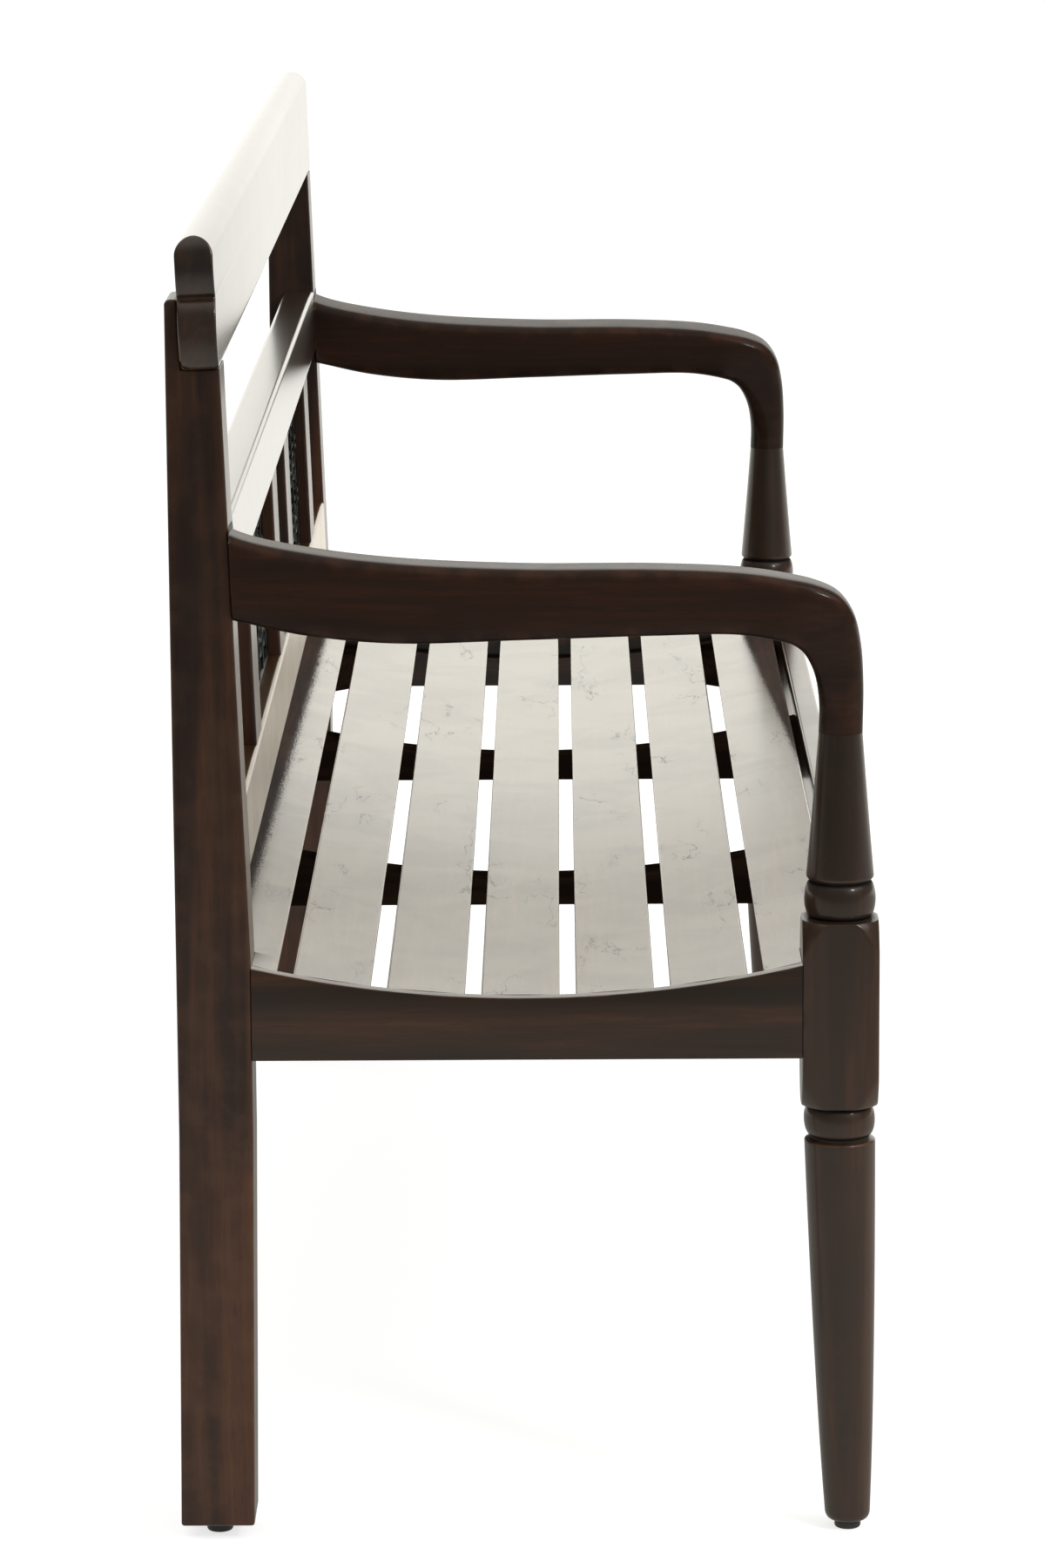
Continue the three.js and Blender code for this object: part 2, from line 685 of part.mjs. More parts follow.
function panelGeometry(side) {
  const front = panel.setback;
  const rear = panel.setback + panel.thickness;
  const bottom = lowerRailTop + fit.gap;
  const top = midRailBottom - fit.gap;
  const centre = side * panel.centre;
  const halfWidth = panel.width / 2;
  const left = centre - halfWidth - panel.tongue;
  const right = centre + halfWidth + panel.tongue;
  const cellWidth = panel.width / panel.columns;
  const cellHeight = (top - bottom) / panel.rows;
  const sideBar = panel.tongue + panel.border;
  const linkReach = cellWidth / 2 - panel.loopWidth / 2 + panel.wall / 2;

  const pieces = [
    boxBetween([left, front, bottom], [left + sideBar, rear, top]),
    boxBetween([right - sideBar, front, bottom], [right, rear, top]),
    boxBetween([left, front, bottom], [right, rear, bottom + panel.border]),
    boxBetween([left, front, top - panel.border], [right, rear, top]),
  ];
  for (let row = 0; row < panel.rows; row += 1) {
    const z = bottom + (row + 0.5) * cellHeight;
    for (let column = 0; column < panel.columns; column += 1) {
      const x = centre - halfWidth + (column + 0.5) * cellWidth;
      pieces.push(almondRing(x, z, panel.loopWidth / 2, panel.loopHeight / 2, true));
      if (column > 0) {
        pieces.push(almondRing(x - cellWidth / 2, z, linkReach, panel.linkHeight / 2, false));
      }
    }
    for (const edge of [-1, 1]) {
      const from = centre + edge * (halfWidth - cellWidth / 2 + panel.loopWidth / 2 - panel.wall / 2);
      const to = centre + edge * halfWidth;
      pieces.push(boxBetween(
        [Math.min(from, to), front, z - panel.stemWidth / 2],
        [Math.max(from, to), rear, z + panel.stemWidth / 2],
      ));
    }
  }
  for (let column = 0; column < panel.columns; column += 1) {
    const x = centre - halfWidth + (column + 0.5) * cellWidth;
    for (let row = 0; row <= panel.rows; row += 1) {
      const z = bottom + row * cellHeight;
      const stemHalf = cellHeight / 2 - panel.loopHeight / 2 + panel.wall;
      const low = Math.max(z - stemHalf, bottom);
      const high = Math.min(z + stemHalf, top);
      pieces.push(boxBetween([x - panel.stemWidth / 2, front, low], [x + panel.stemWidth / 2, rear, high]));
      if (row > 0 && row < panel.rows) {
        const boss = rod(panel.beadDiameter, front - panel.beadProud, rear + panel.beadProud, sidesOf.bead);
        const turned = boss.rotateX(Math.PI / 2).translate(x, front + rear, z);
        pieces.push(turned);
      }
    }
  }
  const [first, ...rest] = pieces.map(solidFrom);
  return lean(geometryFrom(rest.reduce((whole, next) => whole.add(next), first)));
}

// Seat slats: flat boards laid as chords of the dish
function slatBoard(index) {
  const half = slatWidth / 2;
  const under = Math.sqrt(bedRadius ** 2 - half ** 2) - fit.gap;
  const reach = halfLength - sideRail.lip - fit.gap;
  const section = chamferedRectangle(-half, -under, half, seat.slatThickness - under, seat.slatArris);
  return swing(extrudeX(section, -reach, reach), slatAngle(index));
}

function seatSlatSolid(index) {
  let slat = solidFrom(slatBoard(index));
  for (const side of [-1, 1]) {
    const backNotch = boxBetween(
      [backPostInner - fit.gap, postFace - fit.gap, 0],
      [halfLength + fit.overrun, halfDepth + fit.overrun, backPost.rakeStart + fit.overrun],
    );
    const frontNotch = boxBetween(
      [frontPostInner - fit.gap, -halfDepth - fit.overrun, 0],
      [halfLength + fit.overrun, frontPostRear + fit.gap, frontPost.blockTop],
    );
    for (const notch of [backNotch, frontNotch]) slat = slat.subtract(solidFrom(notch.scale(side, 1, 1)));
    slat = slat.subtract(solidFrom(slatScrewPlace(screwGeometry(screw.length, fit.gap), index, side)));
  }
  return slat;
}

// Seat frame
function dishedBoard(front, rear, bottom, radius) {
  const shape = new THREE.Shape();
  shape.moveTo(rear, bottom);
  const angleAt = (y) => Math.asin(y / radius) - Math.PI / 2;
  shape.lineTo(rear, dishCentre - Math.sqrt(radius ** 2 - rear ** 2));
  shape.absarc(0, dishCentre, radius, angleAt(rear), angleAt(front), true);
  shape.lineTo(front, bottom);
  return shape;
}

function sideRailSolid() {
  const front = frontPostRear + fit.gap;
  const rear = postFace - fit.gap;
  const inner = halfLength - sideRail.thickness;
  const bedCentre = dishedBoard(-halfDepth, halfDepth, seat.railBottom - fit.overrun, bedRadius);
  const aboveBed = solidFrom(boxBetween(
    [inner - fit.overrun, -halfDepth + fit.overrun, seat.railBottom],
    [halfLength - sideRail.lip, halfDepth - fit.overrun, backPost.rakeStart + fit.overrun],
  )).subtract(solidFrom(extrudeX(bedCentre, inner - 2 * fit.overrun, halfLength, { segments: 16 })));
  const profile = dishedBoard(front, rear, seat.railBottom, seat.dishRadius);
  return solidFrom(extrudeX(profile, inner, halfLength, { bevel: sideRail.arris, segments: 12 }))
    .subtract(aboveBed)
    .add(solidFrom(sideTenon.body()));
}

function battenSolid(side) {
  const profile = dishedBoard(
    frontRailInner - batten.housing,
    backRailInner + batten.housing,
    batten.bottom,
    bedRadius,
  );
  const left = side * batten.offset - batten.width / 2;
  let solid = solidFrom(extrudeX(profile, left, left + batten.width, { segments: 14 }));
  for (let index = 0; index < seat.slatCount; index += 1) {
    const cutter = geometryFrom(screwCutter(screw.length));
    solid = solid.subtract(solidFrom(slatScrewPlace(cutter, index, side)));
  }
  return solid;
}

function battenHousing(side, y, direction) {
  const half = batten.width / 2 + fit.gap;
  const ends = [y - direction * fit.overrun, y + direction * (batten.housing + fit.gap)];
  return boxBetween(
    [side * batten.offset - half, Math.min(...ends), batten.bottom - fit.gap],
    [side * batten.offset + half, Math.max(...ends), frontRail.top + fit.overrun],
  );
}

function frontRailSolid() {
  const profile = chamferedRectangle(-halfDepth, seat.railBottom, frontRailInner, frontRail.top, frontRail.arris);
  const reach = frontPostInner - fit.gap;
  let rail = solidFrom(extrudeX(profile, -reach, reach)).add(solidFrom(frontTenon.body()));
  for (const side of [-1, 1]) rail = rail.subtract(solidFrom(battenHousing(side, frontRailInner, -1)));
  return rail;
}

function backSeatRailSolid() {
  const profile = dishedBoard(backRailInner, postRear, seat.railBottom, bedRadius);
  const reach = backPostInner - fit.gap;
  let rail = solidFrom(extrudeX(profile, -reach, reach, { segments: 3 })).add(solidFrom(backTenon.body()));
  for (const side of [-1, 1]) rail = rail.subtract(solidFrom(battenHousing(side, backRailInner, 1)));
  return rail;
}

// Corner blocks: glued across each inner corner, notched round the post
function cornerBlockGeometry(end) {
  const isFront = end === "front";
  const postInner = (isFront ? frontPostInner : backPostInner) - fit.gap;
  const postEdge = isFront ? frontPostRear + fit.gap : postFace - fit.gap;
  const railFace = isFront ? frontRailInner + fit.gap : backRailInner - fit.gap;
  const inward = isFront ? 1 : -1;
  const railInner = halfLength - sideRail.thickness - fit.gap;
  const outline = polygon([
    [railInner, postEdge],
    [railInner, postEdge + inward * cornerBlock.reach],
    [postInner - cornerBlock.reach, railFace],
    [postInner, railFace],
    [postInner, postEdge],
  ]);
  const bottom = seat.railBottom + cornerBlock.lift;
  return extrude(outline, bottom, bottom + cornerBlock.height);
}

function glideGeometry(height) {
  const radius = glide.diameter / 2;
  const nail = glide.nailDiameter / 2;
  const tip = height + glide.nailLength;
  return revolve([
    new THREE.Vector2(0, 0),
    new THREE.Vector2(radius - glide.arris, 0),
    new THREE.Vector2(radius, glide.arris),
    new THREE.Vector2(radius, height),
    new THREE.Vector2(nail, height),
    new THREE.Vector2(nail, tip - glide.nailDiameter),
    new THREE.Vector2(0, tip),
  ], sidesOf.glide);
}

// Materials, and the bench put together
const finish = (name, color, roughness, metalness) => (
  new THREE.MeshStandardMaterial({ name, color, roughness, metalness })
);
const wood = () => finish("espresso_hardwood", 0x3a2f29, 0.35, 0);
const blackMetal = () => finish("blackened_metal", 0x2e312c, 0.45, 0.8);
const steel = () => finish("zinc_steel", 0x8f9294, 0.4, 0.9);
const nylon = () => finish("nylon", 0x2b2623, 0.6, 0);

const deaconsBench = new THREE.Group();
deaconsBench.name = "deacons_bench";

function addPiece(name, geometry, material) {
  const mesh = new THREE.Mesh(geometry, material);
  mesh.name = name;
  deaconsBench.add(mesh);
  return mesh;
}

function addPair(name, geometry, material) {
  addPiece(`${name}_right`, geometry, material());
  addPiece(`${name}_left`, mirrored(geometry), material());
}

addPair("back_post", geometryFrom(backPostSolid()), wood);
addPair("front_post", geometryFrom(frontPostSolid()), wood);
addPair("arm", geometryFrom(armSolid()), wood);
addPair("side_rail", geometryFrom(sideRailSolid()), wood);
addPair("corner_block_front", cornerBlockGeometry("front"), wood);
addPair("corner_block_back", cornerBlockGeometry("back"), wood);
addPair("arm_post_dowel", armDowelGeometry(0), wood);
addPair("arm_root_dowel", rootDowelGeometry(0), wood);

addPiece("crest_rail", geometryFrom(crestSolid()), wood());
addPiece("mid_back_rail", geometryFrom(backRailSolid(midRail, midRailBottom, midRailTop, midTenon)), wood());
addPiece(
  "lower_back_rail",
  geometryFrom(backRailSolid(lowerRail, lowerRailBottom, lowerRailTop, lowerTenon)),
  wood(),
);
slatPlaces.forEach((x, i) => addPiece(`back_slat_${i + 1}`, geometryFrom(backSlatSolid(x)), wood()));
addPiece("pierced_panel_left", panelGeometry(-1), blackMetal());
addPiece("pierced_panel_right", panelGeometry(1), blackMetal());

addPiece("front_seat_rail", geometryFrom(frontRailSolid()), wood());
addPiece("back_seat_rail", geometryFrom(backSeatRailSolid()), wood());
for (const [name, side] of [["left", -1], ["right", 1]]) {
  addPiece(`seat_batten_${name}`, geometryFrom(battenSolid(side)), wood());
  for (const [level, place] of [[-1, "lower"], [1, "upper"]]) {
    const geometry = crestScrewPlace(screwGeometry(crestScrew.length, 0), level, side);
    addPiece(`crest_screw_${name}_${place}`, geometry, steel());
  }
}
for (let index = 0; index < seat.slatCount; index += 1) {
  addPiece(`seat_slat_${index + 1}`, geometryFrom(seatSlatSolid(index)), wood());
  for (const [name, side] of [["left", -1], ["right", 1]]) {
    const geometry = slatScrewPlace(screwGeometry(screw.length, 0), index, side);
    addPiece(`slat_screw_${index + 1}_${name}`, geometry, steel());
  }
}

const glidePlaces = {
  front: [frontAxisX, frontFootY, glide.frontHeight],
  back: [backPostCentre, halfDepth - backPost.thickness / 2, glide.backHeight],
};
for (const [end, [x, y, height]] of Object.entries(glidePlaces)) {
  for (const [name, side] of [["left", -1], ["right", 1]]) {
    addPiece(`glide_${end}_${name}`, glideGeometry(height), nylon()).position.set(side * x, y, 0);
  }
}

export default deaconsBench;
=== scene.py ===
"""Dark hardwood deacons bench: turned and bent-over arms, dished slat seat, lobed crest, pierced panels.

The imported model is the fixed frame. Each class below builds the finished surface of one kind of piece
in metres, in the same frame, and dresses it in its finish. X runs along the bench, Y to its back, Z up.
"""

from __future__ import annotations

import logging
from collections.abc import Callable, Sequence
from dataclasses import dataclass, field
from enum import Enum

import bpy
import numpy as np
from mathutils import Matrix, Vector


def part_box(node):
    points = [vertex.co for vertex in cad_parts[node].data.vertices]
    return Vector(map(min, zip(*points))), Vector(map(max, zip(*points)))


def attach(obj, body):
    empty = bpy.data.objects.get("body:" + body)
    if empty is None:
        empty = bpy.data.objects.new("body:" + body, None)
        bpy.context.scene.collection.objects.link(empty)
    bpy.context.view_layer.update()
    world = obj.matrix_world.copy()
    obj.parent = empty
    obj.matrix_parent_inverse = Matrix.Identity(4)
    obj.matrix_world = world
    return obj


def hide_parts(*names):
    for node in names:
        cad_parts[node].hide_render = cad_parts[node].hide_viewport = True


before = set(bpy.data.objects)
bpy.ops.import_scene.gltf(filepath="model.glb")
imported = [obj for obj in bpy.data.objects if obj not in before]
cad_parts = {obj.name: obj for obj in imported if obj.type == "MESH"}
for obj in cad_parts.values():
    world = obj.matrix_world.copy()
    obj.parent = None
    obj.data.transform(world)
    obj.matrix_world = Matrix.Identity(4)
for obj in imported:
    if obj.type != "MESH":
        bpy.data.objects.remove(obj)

LOG = logging.getLogger("bench")
Array = np.ndarray
Colour = tuple[float, float, float]
Place = tuple[float, float, float]
Pair = tuple[float, float]
BODY = "root"
# The clearance of the model's joints in metres, and what two finished surfaces that meet keep of it.
FIT_GAP = 0.0003
CLOSED_JOINT = 0.00005


class Grain(Enum):
    """The direction in which a piece's timber runs."""

    LENGTHWISE = 0
    FRONT_TO_BACK = 1
    UPRIGHT = 2


class Direction(Enum):
    """A named place on the bench whose value is its sign along an axis."""

    @property
    def word(self) -> str:
        """Its word in the names of nodes and pieces."""
        return self.name.lower()


class Side(Direction):
    """The end of the bench that a piece is at: the sign of its X."""

    LEFT = -1
    RIGHT = 1


class Face(Direction):
    """The face of the bench that a piece is at: the sign of its Y."""

    FRONT = -1
    BACK = 1


# Curves and surfaces


def arc(centre: Sequence[float], radius: float, start: float, end: float, count: int) -> Array:
    """Points on a circle: centre plus radius times the cosine and sine of evenly spread angles.

    Args:
        centre: The circle's centre in the plane.
        radius: Its radius in metres.
        start: The first angle in radians.
        end: The last angle in radians.
        count: How many points to return.

    Returns:
        An array of shape (count, 2).
    """
    angles = np.linspace(start, end, count)
    return np.asarray(centre) + radius * np.stack([np.cos(angles), np.sin(angles)], axis=1)


def quadratic(start: Sequence[float], bend: Sequence[float], end: Sequence[float], count: int) -> Array:
    """A quadratic Bezier curve: (1-t)^2 start + 2t(1-t) bend + t^2 end.

    Args:
        start: The first point.
        bend: The control point.
        end: The last point.
        count: How many points to return.

    Returns:
        An array of shape (count, 2).
    """
    t = np.linspace(0, 1, count)[:, None]
    return (1 - t) ** 2 * np.asarray(start) + 2 * t * (1 - t) * np.asarray(bend) + t**2 * np.asarray(end)


def centripetal_curve(knots: Array, count: int) -> Array:
    """A centripetal Catmull-Rom curve: Hermite spans whose slopes weigh each chord by its square root.

    Args:
        knots: Points that the curve passes through, shape (n, 3).
        count: How many points to return.

    Returns:
        An array of shape (count, 3).
    """
    padded = np.concatenate([[2 * knots[0] - knots[1]], knots, [2 * knots[-1] - knots[-2]]])
    chords = np.sqrt(np.linalg.norm(np.diff(padded, axis=0), axis=1))[:, None]
    place = np.linspace(0, len(knots) - 1, count)
    span = np.minimum(place.astype(int), len(knots) - 2)
    t = (place - span)[:, None]
    p0, p1, p2, p3 = (padded[span + k] for k in range(4))
    d0, d1, d2 = (chords[span + k] for k in range(3))
    slope1 = ((p1 - p0) / d0 - (p2 - p0) / (d0 + d1) + (p2 - p1) / d1) * d1
    slope2 = ((p2 - p1) / d1 - (p3 - p1) / (d1 + d2) + (p3 - p2) / d2) * d1
    return (
        (2 * t**3 - 3 * t**2 + 1) * p1
        + (t**3 - 2 * t**2 + t) * slope1
        + (3 * t**2 - 2 * t**3) * p2
        + (t**3 - t**2) * slope2
    )


def level_line(left: float, right: float, z: float, count: int) -> Array:
    """Evenly spaced points (x, z) on a level line."""
    return np.stack([np.linspace(left, right, count), np.full(count, z)], axis=1)


def upright_line(x: float, bottom: float, top: float, count: int) -> Array:
    """Evenly spaced points (x, z) on an upright line."""
    return np.stack([np.full(count, x), np.linspace(bottom, top, count)], axis=1)


def soft_minimum(first: Array, second: Array, blend: float) -> Array:
    """The smaller of two fields with a rounded corner: (a + b - sqrt((a - b)^2 + blend^2)) / 2."""
    return (first + second - np.sqrt((first - second) ** 2 + blend**2)) / 2


def rounded_outline(corners: Array, radii: Array, inset: float = 0.0, steps: int = 5) -> Array:
    """A polygon with each corner turned into an arc, drawn in by an even inset.

    Each edge moves inwards by the inset along its left normal, neighbouring edges are intersected again,
    and the corner is replaced by an arc tangent to both, with a support point on each straight beside it.

    Args:
        corners: Counter-clockwise polygon corners, shape (n, 2).
        radii: The round at each corner in metres, zero for a corner that stays sharp.
        inset: How far every edge moves inwards.
        steps: How many points each arc has.

    Returns:
        The outline's points, shape (m, 2). m doesn't depend on the inset.
    """
    least_turn, least_round, support_share = 0.1, 0.15, 0.3
    ahead = np.roll(corners, -1, axis=0) - corners
    along = ahead / np.linalg.norm(ahead, axis=1)[:, None]
    normal = np.stack([-along[:, 1], along[:, 0]], axis=1)
    before, before_normal = np.roll(along, 1, axis=0), np.roll(normal, 1, axis=0)
    cross = before[:, 0] * along[:, 1] - before[:, 1] * along[:, 0]
    dot = (before * along).sum(axis=1)
    shift = inset / np.maximum(1 + dot, least_turn)
    moved = corners + shift[:, None] * (before_normal + normal)
    pieces = []
    for point, into, out, turn, cosine, radius in zip(moved, before, along, cross, dot, radii):
        if radius <= 0:
            pieces.append(point[None])
            continue
        size = max(radius - inset, radius * least_round)
        angle = np.arctan2(turn, cosine)
        tangent = size * np.tan(abs(angle) / 2)
        side = np.sign(turn) * np.array([-into[1], into[0]])
        centre = point - tangent * into + size * side
        first = np.arctan2(*(-side)[::-1])
        rim = arc(centre, size, first, first + angle, steps)
        support = size * support_share
        pieces.append(np.concatenate([[rim[0] - support * into], rim, [rim[-1] + support * out]]))
    return np.concatenate(pieces)


def lean(points: Array) -> Array:
    """Tips upright points of the back round its pivot line, from the vertical to the rake."""
    turned = points.copy()
    y, z = points[..., 1], points[..., 2] - BACK.pivot_height
    turned[..., 1] = y * np.cos(BACK.rake) + z * np.sin(BACK.rake) + BACK.face
    turned[..., 2] = -y * np.sin(BACK.rake) + z * np.cos(BACK.rake) + BACK.pivot_height
    return turned


def edge_sharpness(grid: Array) -> Array:
    """How quickly a grid surface turns: the change of its normal per metre along each parameter, as a mask.

    Args:
        grid: Surface points, shape (rings, around, 3), closed round their second parameter.

    Returns:
        A value for each point, 0 on flats to 1 on tight arrises, shape (rings, around).
    """
    full_wear_turn = 450.0
    least_area, least_step = 1e-12, 1e-6

    def slope(values: Array, axis: int) -> Array:
        """The central difference of a field along one parameter."""
        if axis == 1:
            return (np.roll(values, -1, axis=1) - np.roll(values, 1, axis=1)) / 2
        return np.gradient(values, axis=axis)

    along, across = slope(grid, 0), slope(grid, 1)
    normal = np.cross(along, across)
    normal /= np.linalg.norm(normal, axis=2)[..., None] + least_area
    turning = np.zeros(grid.shape[:2])
    for axis, step in ((0, along), (1, across)):
        length = np.linalg.norm(step, axis=2) + least_step
        turning = np.maximum(turning, np.linalg.norm(slope(normal, axis), axis=2) / length)
    return np.clip(turning / full_wear_turn, 0, 1)


# Meshes


@dataclass
class MeshParts:
    """Vertices, faces, the mask of abraded arrises and painted light, and the painted groove shade of one
    piece, gathered from one or more surfaces.
    """

    vertices: list[Array] = field(default_factory=list)
    faces: list[tuple[int, ...]] = field(default_factory=list)
    wear_and_light: list[Array] = field(default_factory=list)
    groove_shade: list[Array] = field(default_factory=list)
    count: int = 0

    @classmethod
    def of(cls, grid: Array, groove_shade: Array | None = None, painted_light: Array | float = 0.0) -> MeshParts:
        """The parts of a piece that is a single grid surface."""
        parts = cls()
        parts.add_grid(grid, groove_shade, painted_light)
        return parts

    def add_grid(self, grid: Array, groove_shade: Array | None = None, painted_light: Array | float = 0.0) -> None:
        """Adds a surface that closes round its second parameter, with its first and last rings filled.

        Args:
            grid: Points of shape (rings, around, 3), each ring in the same sense.
            groove_shade: Painted shade for each ring, 1 in the depth of a groove to 0 outside, or None for no
                grooves.
            painted_light: The least value of each point's mask of abraded arrises and painted light, shape
                (rings, around), or one value for all; the arms paint their tops lighter with it.
        """
        rings, around = grid.shape[:2]
        index = np.arange(rings * around).reshape(rings, around) + self.count
        here, beside = index, np.roll(index, -1, axis=1)
        quads = np.stack([here[:-1], beside[:-1], beside[1:], here[1:]], axis=-1).reshape(-1, 4)
        self.faces += [tuple(quad) for quad in quads.tolist()]
        self.faces.append(tuple(index[0][::-1].tolist()))
        self.faces.append(tuple(index[-1].tolist()))
        self.vertices.append(grid.reshape(-1, 3))
        self.wear_and_light.append(np.maximum(edge_sharpness(grid), painted_light).reshape(-1))
        self.groove_shade.append(np.repeat(np.zeros(rings) if groove_shade is None else groove_shade, around))
        self.count += rings * around

    def build(self, name: str, smooth_angle: float = 35.0) -> bpy.types.Object:
        """Makes the mesh object at the origin, with outward normals and the attributes of abraded arrises
        with painted light and of painted groove shade.

        Args:
            name: The object's name.
            smooth_angle: The angle in degrees above which an edge stays sharp.

        Returns:
            The new object, linked to the scene.
        """
        mesh = bpy.data.meshes.new(name)
        mesh.from_pydata(np.concatenate(self.vertices).tolist(), [], self.faces)
        for label, values in (("wear_and_light", self.wear_and_light), ("groove_shade", self.groove_shade)):
            mask = mesh.attributes.new(label, "FLOAT", "POINT")
            mask.data.foreach_set("value", np.concatenate(values).astype(np.float32))
        mesh.validate()
        if signed_volume(mesh) < 0:
            mesh.flip_normals()
        mesh.shade_smooth()
        mesh.set_sharp_from_angle(angle=np.radians(smooth_angle))
        piece = bpy.data.objects.new(name, mesh)
        bpy.context.collection.objects.link(piece)
        return piece


def signed_volume(mesh: bpy.types.Mesh) -> float:
    """The mesh's volume by summed tetrahedra, negative where its faces point inwards."""
    mesh.calc_loop_triangles()
    corners = np.empty(len(mesh.loop_triangles) * 3, dtype=np.int32)
    mesh.loop_triangles.foreach_get("vertices", corners)
    places = np.empty(len(mesh.vertices) * 3)
    mesh.vertices.foreach_get("co", places)
    a, b, c = places.reshape(-1, 3)[corners.reshape(-1, 3)].transpose(1, 0, 2)
    return float(np.einsum("ij,ij->i", a, np.cross(b, c)).sum() / 6)


def carried_outline(
    corners: Array,
    radii: Array,
    reach: Pair,
    place: Callable[[Array, Array], Array],
    end_round: float,
    rings: int = 5,
) -> Array:
    """A rounded outline carried straight from one end to the other, drawn in over rounded ends.

    At an end ring of angle a the outline is inset by end_round (1 - sin a) and stands back by
    end_round (1 - cos a) from the end.

    Args:
        corners: The outline's corners in its own plane.
        radii: The round at each corner.
        reach: Where the piece starts and ends along its length.
        place: Turns (points in the plane, position along the length) into 3-D points.
        end_round: The round on the rims of both ends.
        rings: How many rings each rounded end has.

    Returns:
        Surface points, shape (rings, around, 3).
    """
    support_share = 0.4
    angles = np.linspace(0, np.pi / 2, rings)
    insets = end_round * (1 - np.sin(angles))
    backs = end_round * (1 - np.cos(angles))
    low, high = reach
    support = end_round * support_share
    sections = [(inset, low + back) for inset, back in zip(insets, backs)]
    sections += [(0.0, low + end_round + support), (0.0, high - end_round - support)]
    sections += [(inset, high - back) for inset, back in zip(insets[::-1], backs[::-1])]
    made = []
    for inset, position in sections:
        outline = rounded_outline(corners, radii, inset)
        made.append(place(outline, np.full(len(outline), position)))
    return np.stack(made)


def along_x(outline: Array, position: Array) -> Array:
    """Places an outline drawn in (Y, Z) at a position along X."""
    return np.stack([position, outline[:, 0], outline[:, 1]], axis=1)


def along_z(outline: Array, position: Array) -> Array:
    """Places an outline drawn in (X, Y) at a position along Z."""
    return np.stack([outline[:, 0], outline[:, 1], position], axis=1)


def turned_grid(axis: Sequence[float], radius: Array, height: Array, angles: Array) -> Array:
    """A turning: each point lies at the axis plus its radius times the cosine and sine of its angle.

    Args:
        axis: The turning's centre in (X, Y).
        radius: The radius of each profile point, shape (rings, 1) or (rings, around).
        height: The height of each profile point, shape (rings, 1).
        angles: The angles round the axis, shape (around,).

    Returns:
        Surface points, shape (rings, around, 3).
    """
    return np.stack([
        axis[0] + radius * np.cos(angles),
        axis[1] + radius * np.sin(angles),
        np.broadcast_to(height, (len(height), len(angles))),
    ], axis=-1)


def rectangle(low: Sequence[float], high: Sequence[float]) -> Array:
    """The four corners between two opposite ones, counter-clockwise."""
    return np.array([[low[0], low[1]], [high[0], low[1]], [high[0], high[1]], [low[0], high[1]]])


# Finishes


@dataclass(frozen=True)
class Noise:
    """The look of a noise texture, and the two values between which a mask made of it fades in."""

    scale: float
    detail: float
    cut: Pair
    distortion: float = 0.0


class Shader:
    """A thin hand for building node trees: adds nodes by type, sets sockets and links by name.

    The colour mix's factor, its two colours and its result are known by their places among its sockets.
    """

    mix_inputs = (0, 6, 7)
    mix_output = 2

    def __init__(self, tree: bpy.types.NodeTree) -> None:
        """Keeps the tree that the nodes go into."""
        self.tree = tree

    def add(
        self,
        kind: str,
        inputs: dict[str | int, object] | None = None,
        **settings: object,
    ) -> bpy.types.Node:
        """Adds one node.

        Args:
            kind: The node's type name without the ShaderNode prefix.
            inputs: Values or output sockets for its inputs, by socket name or number.
            settings: Properties of the node itself.

        Returns:
            The node.
        """
        node = self.tree.nodes.new(f"ShaderNode{kind}")
        for name, value in settings.items():
            setattr(node, name, value)
        for name, value in (inputs or {}).items():
            if isinstance(value, bpy.types.NodeSocket):
                self.link(value, node.inputs[name])
            else:
                node.inputs[name].default_value = value
        return node

    def link(self, source: bpy.types.NodeSocket, *targets: bpy.types.NodeSocket) -> None:
        """Links one output to one or more inputs."""
        for target in targets:
            self.tree.links.new(source, target)

    def noise(self, vector: object, look: Noise) -> bpy.types.NodeSocket:
        """Adds a noise texture and returns its factor."""
        inputs = {"Vector": vector, "Scale": look.scale, "Detail": look.detail, "Distortion": look.distortion}
        return self.add("TexNoise", inputs).outputs["Fac"]

    def mask(self, vector: object, look: Noise) -> bpy.types.NodeSocket:
        """Adds a noise texture and returns its factor as a mask from 0 to 1."""
        return self.span(self.noise(vector, look), *look.cut)

    def span(self, value: object, low: float, high: float, to: Pair = (0, 1)) -> bpy.types.NodeSocket:
        """Maps a value from low..high smoothly on to another range."""
        inputs = {"Value": value, "From Min": low, "From Max": high, "To Min": to[0], "To Max": to[1]}
        return self.add("MapRange", inputs, interpolation_type="SMOOTHSTEP").outputs["Result"]

    def stretched(self, place: object, grain: Grain, along: float, across: float) -> bpy.types.NodeSocket:
        """Scales the places that a pattern reads, less along the grain than across it."""
        scale = [across] * 3
        scale[grain.value] = along
        return self.add("Mapping", {"Vector": place, "Scale": scale}).outputs["Vector"]

    def bump(self, height: object, strength: float, distance: float) -> bpy.types.NodeSocket:
        """Adds a bump and returns its normal."""
        inputs = {"Strength": strength, "Distance": distance, "Height": height}
        return self.add("Bump", inputs).outputs["Normal"]

    def math(self, operation: str, first: object, second: object = 0.0) -> bpy.types.NodeSocket:
        """Adds a math node and returns its value."""
        return self.add("Math", {0: first, 1: second}, operation=operation).outputs[0]

    def mix(self, factor: object, first: object, second: object, blend: str = "MIX") -> bpy.types.NodeSocket:
        """Adds a colour mix and returns its colour."""
        node = self.add("Mix", data_type="RGBA", blend_type=blend)
        for place, value in zip(self.mix_inputs, (factor, first, second)):
            socket = node.inputs[place]
            if isinstance(value, bpy.types.NodeSocket):
                self.link(value, socket)
            else:
                socket.default_value = value if isinstance(value, (float, int)) else (*value, 1.0)[:4]
        return node.outputs[self.mix_output]


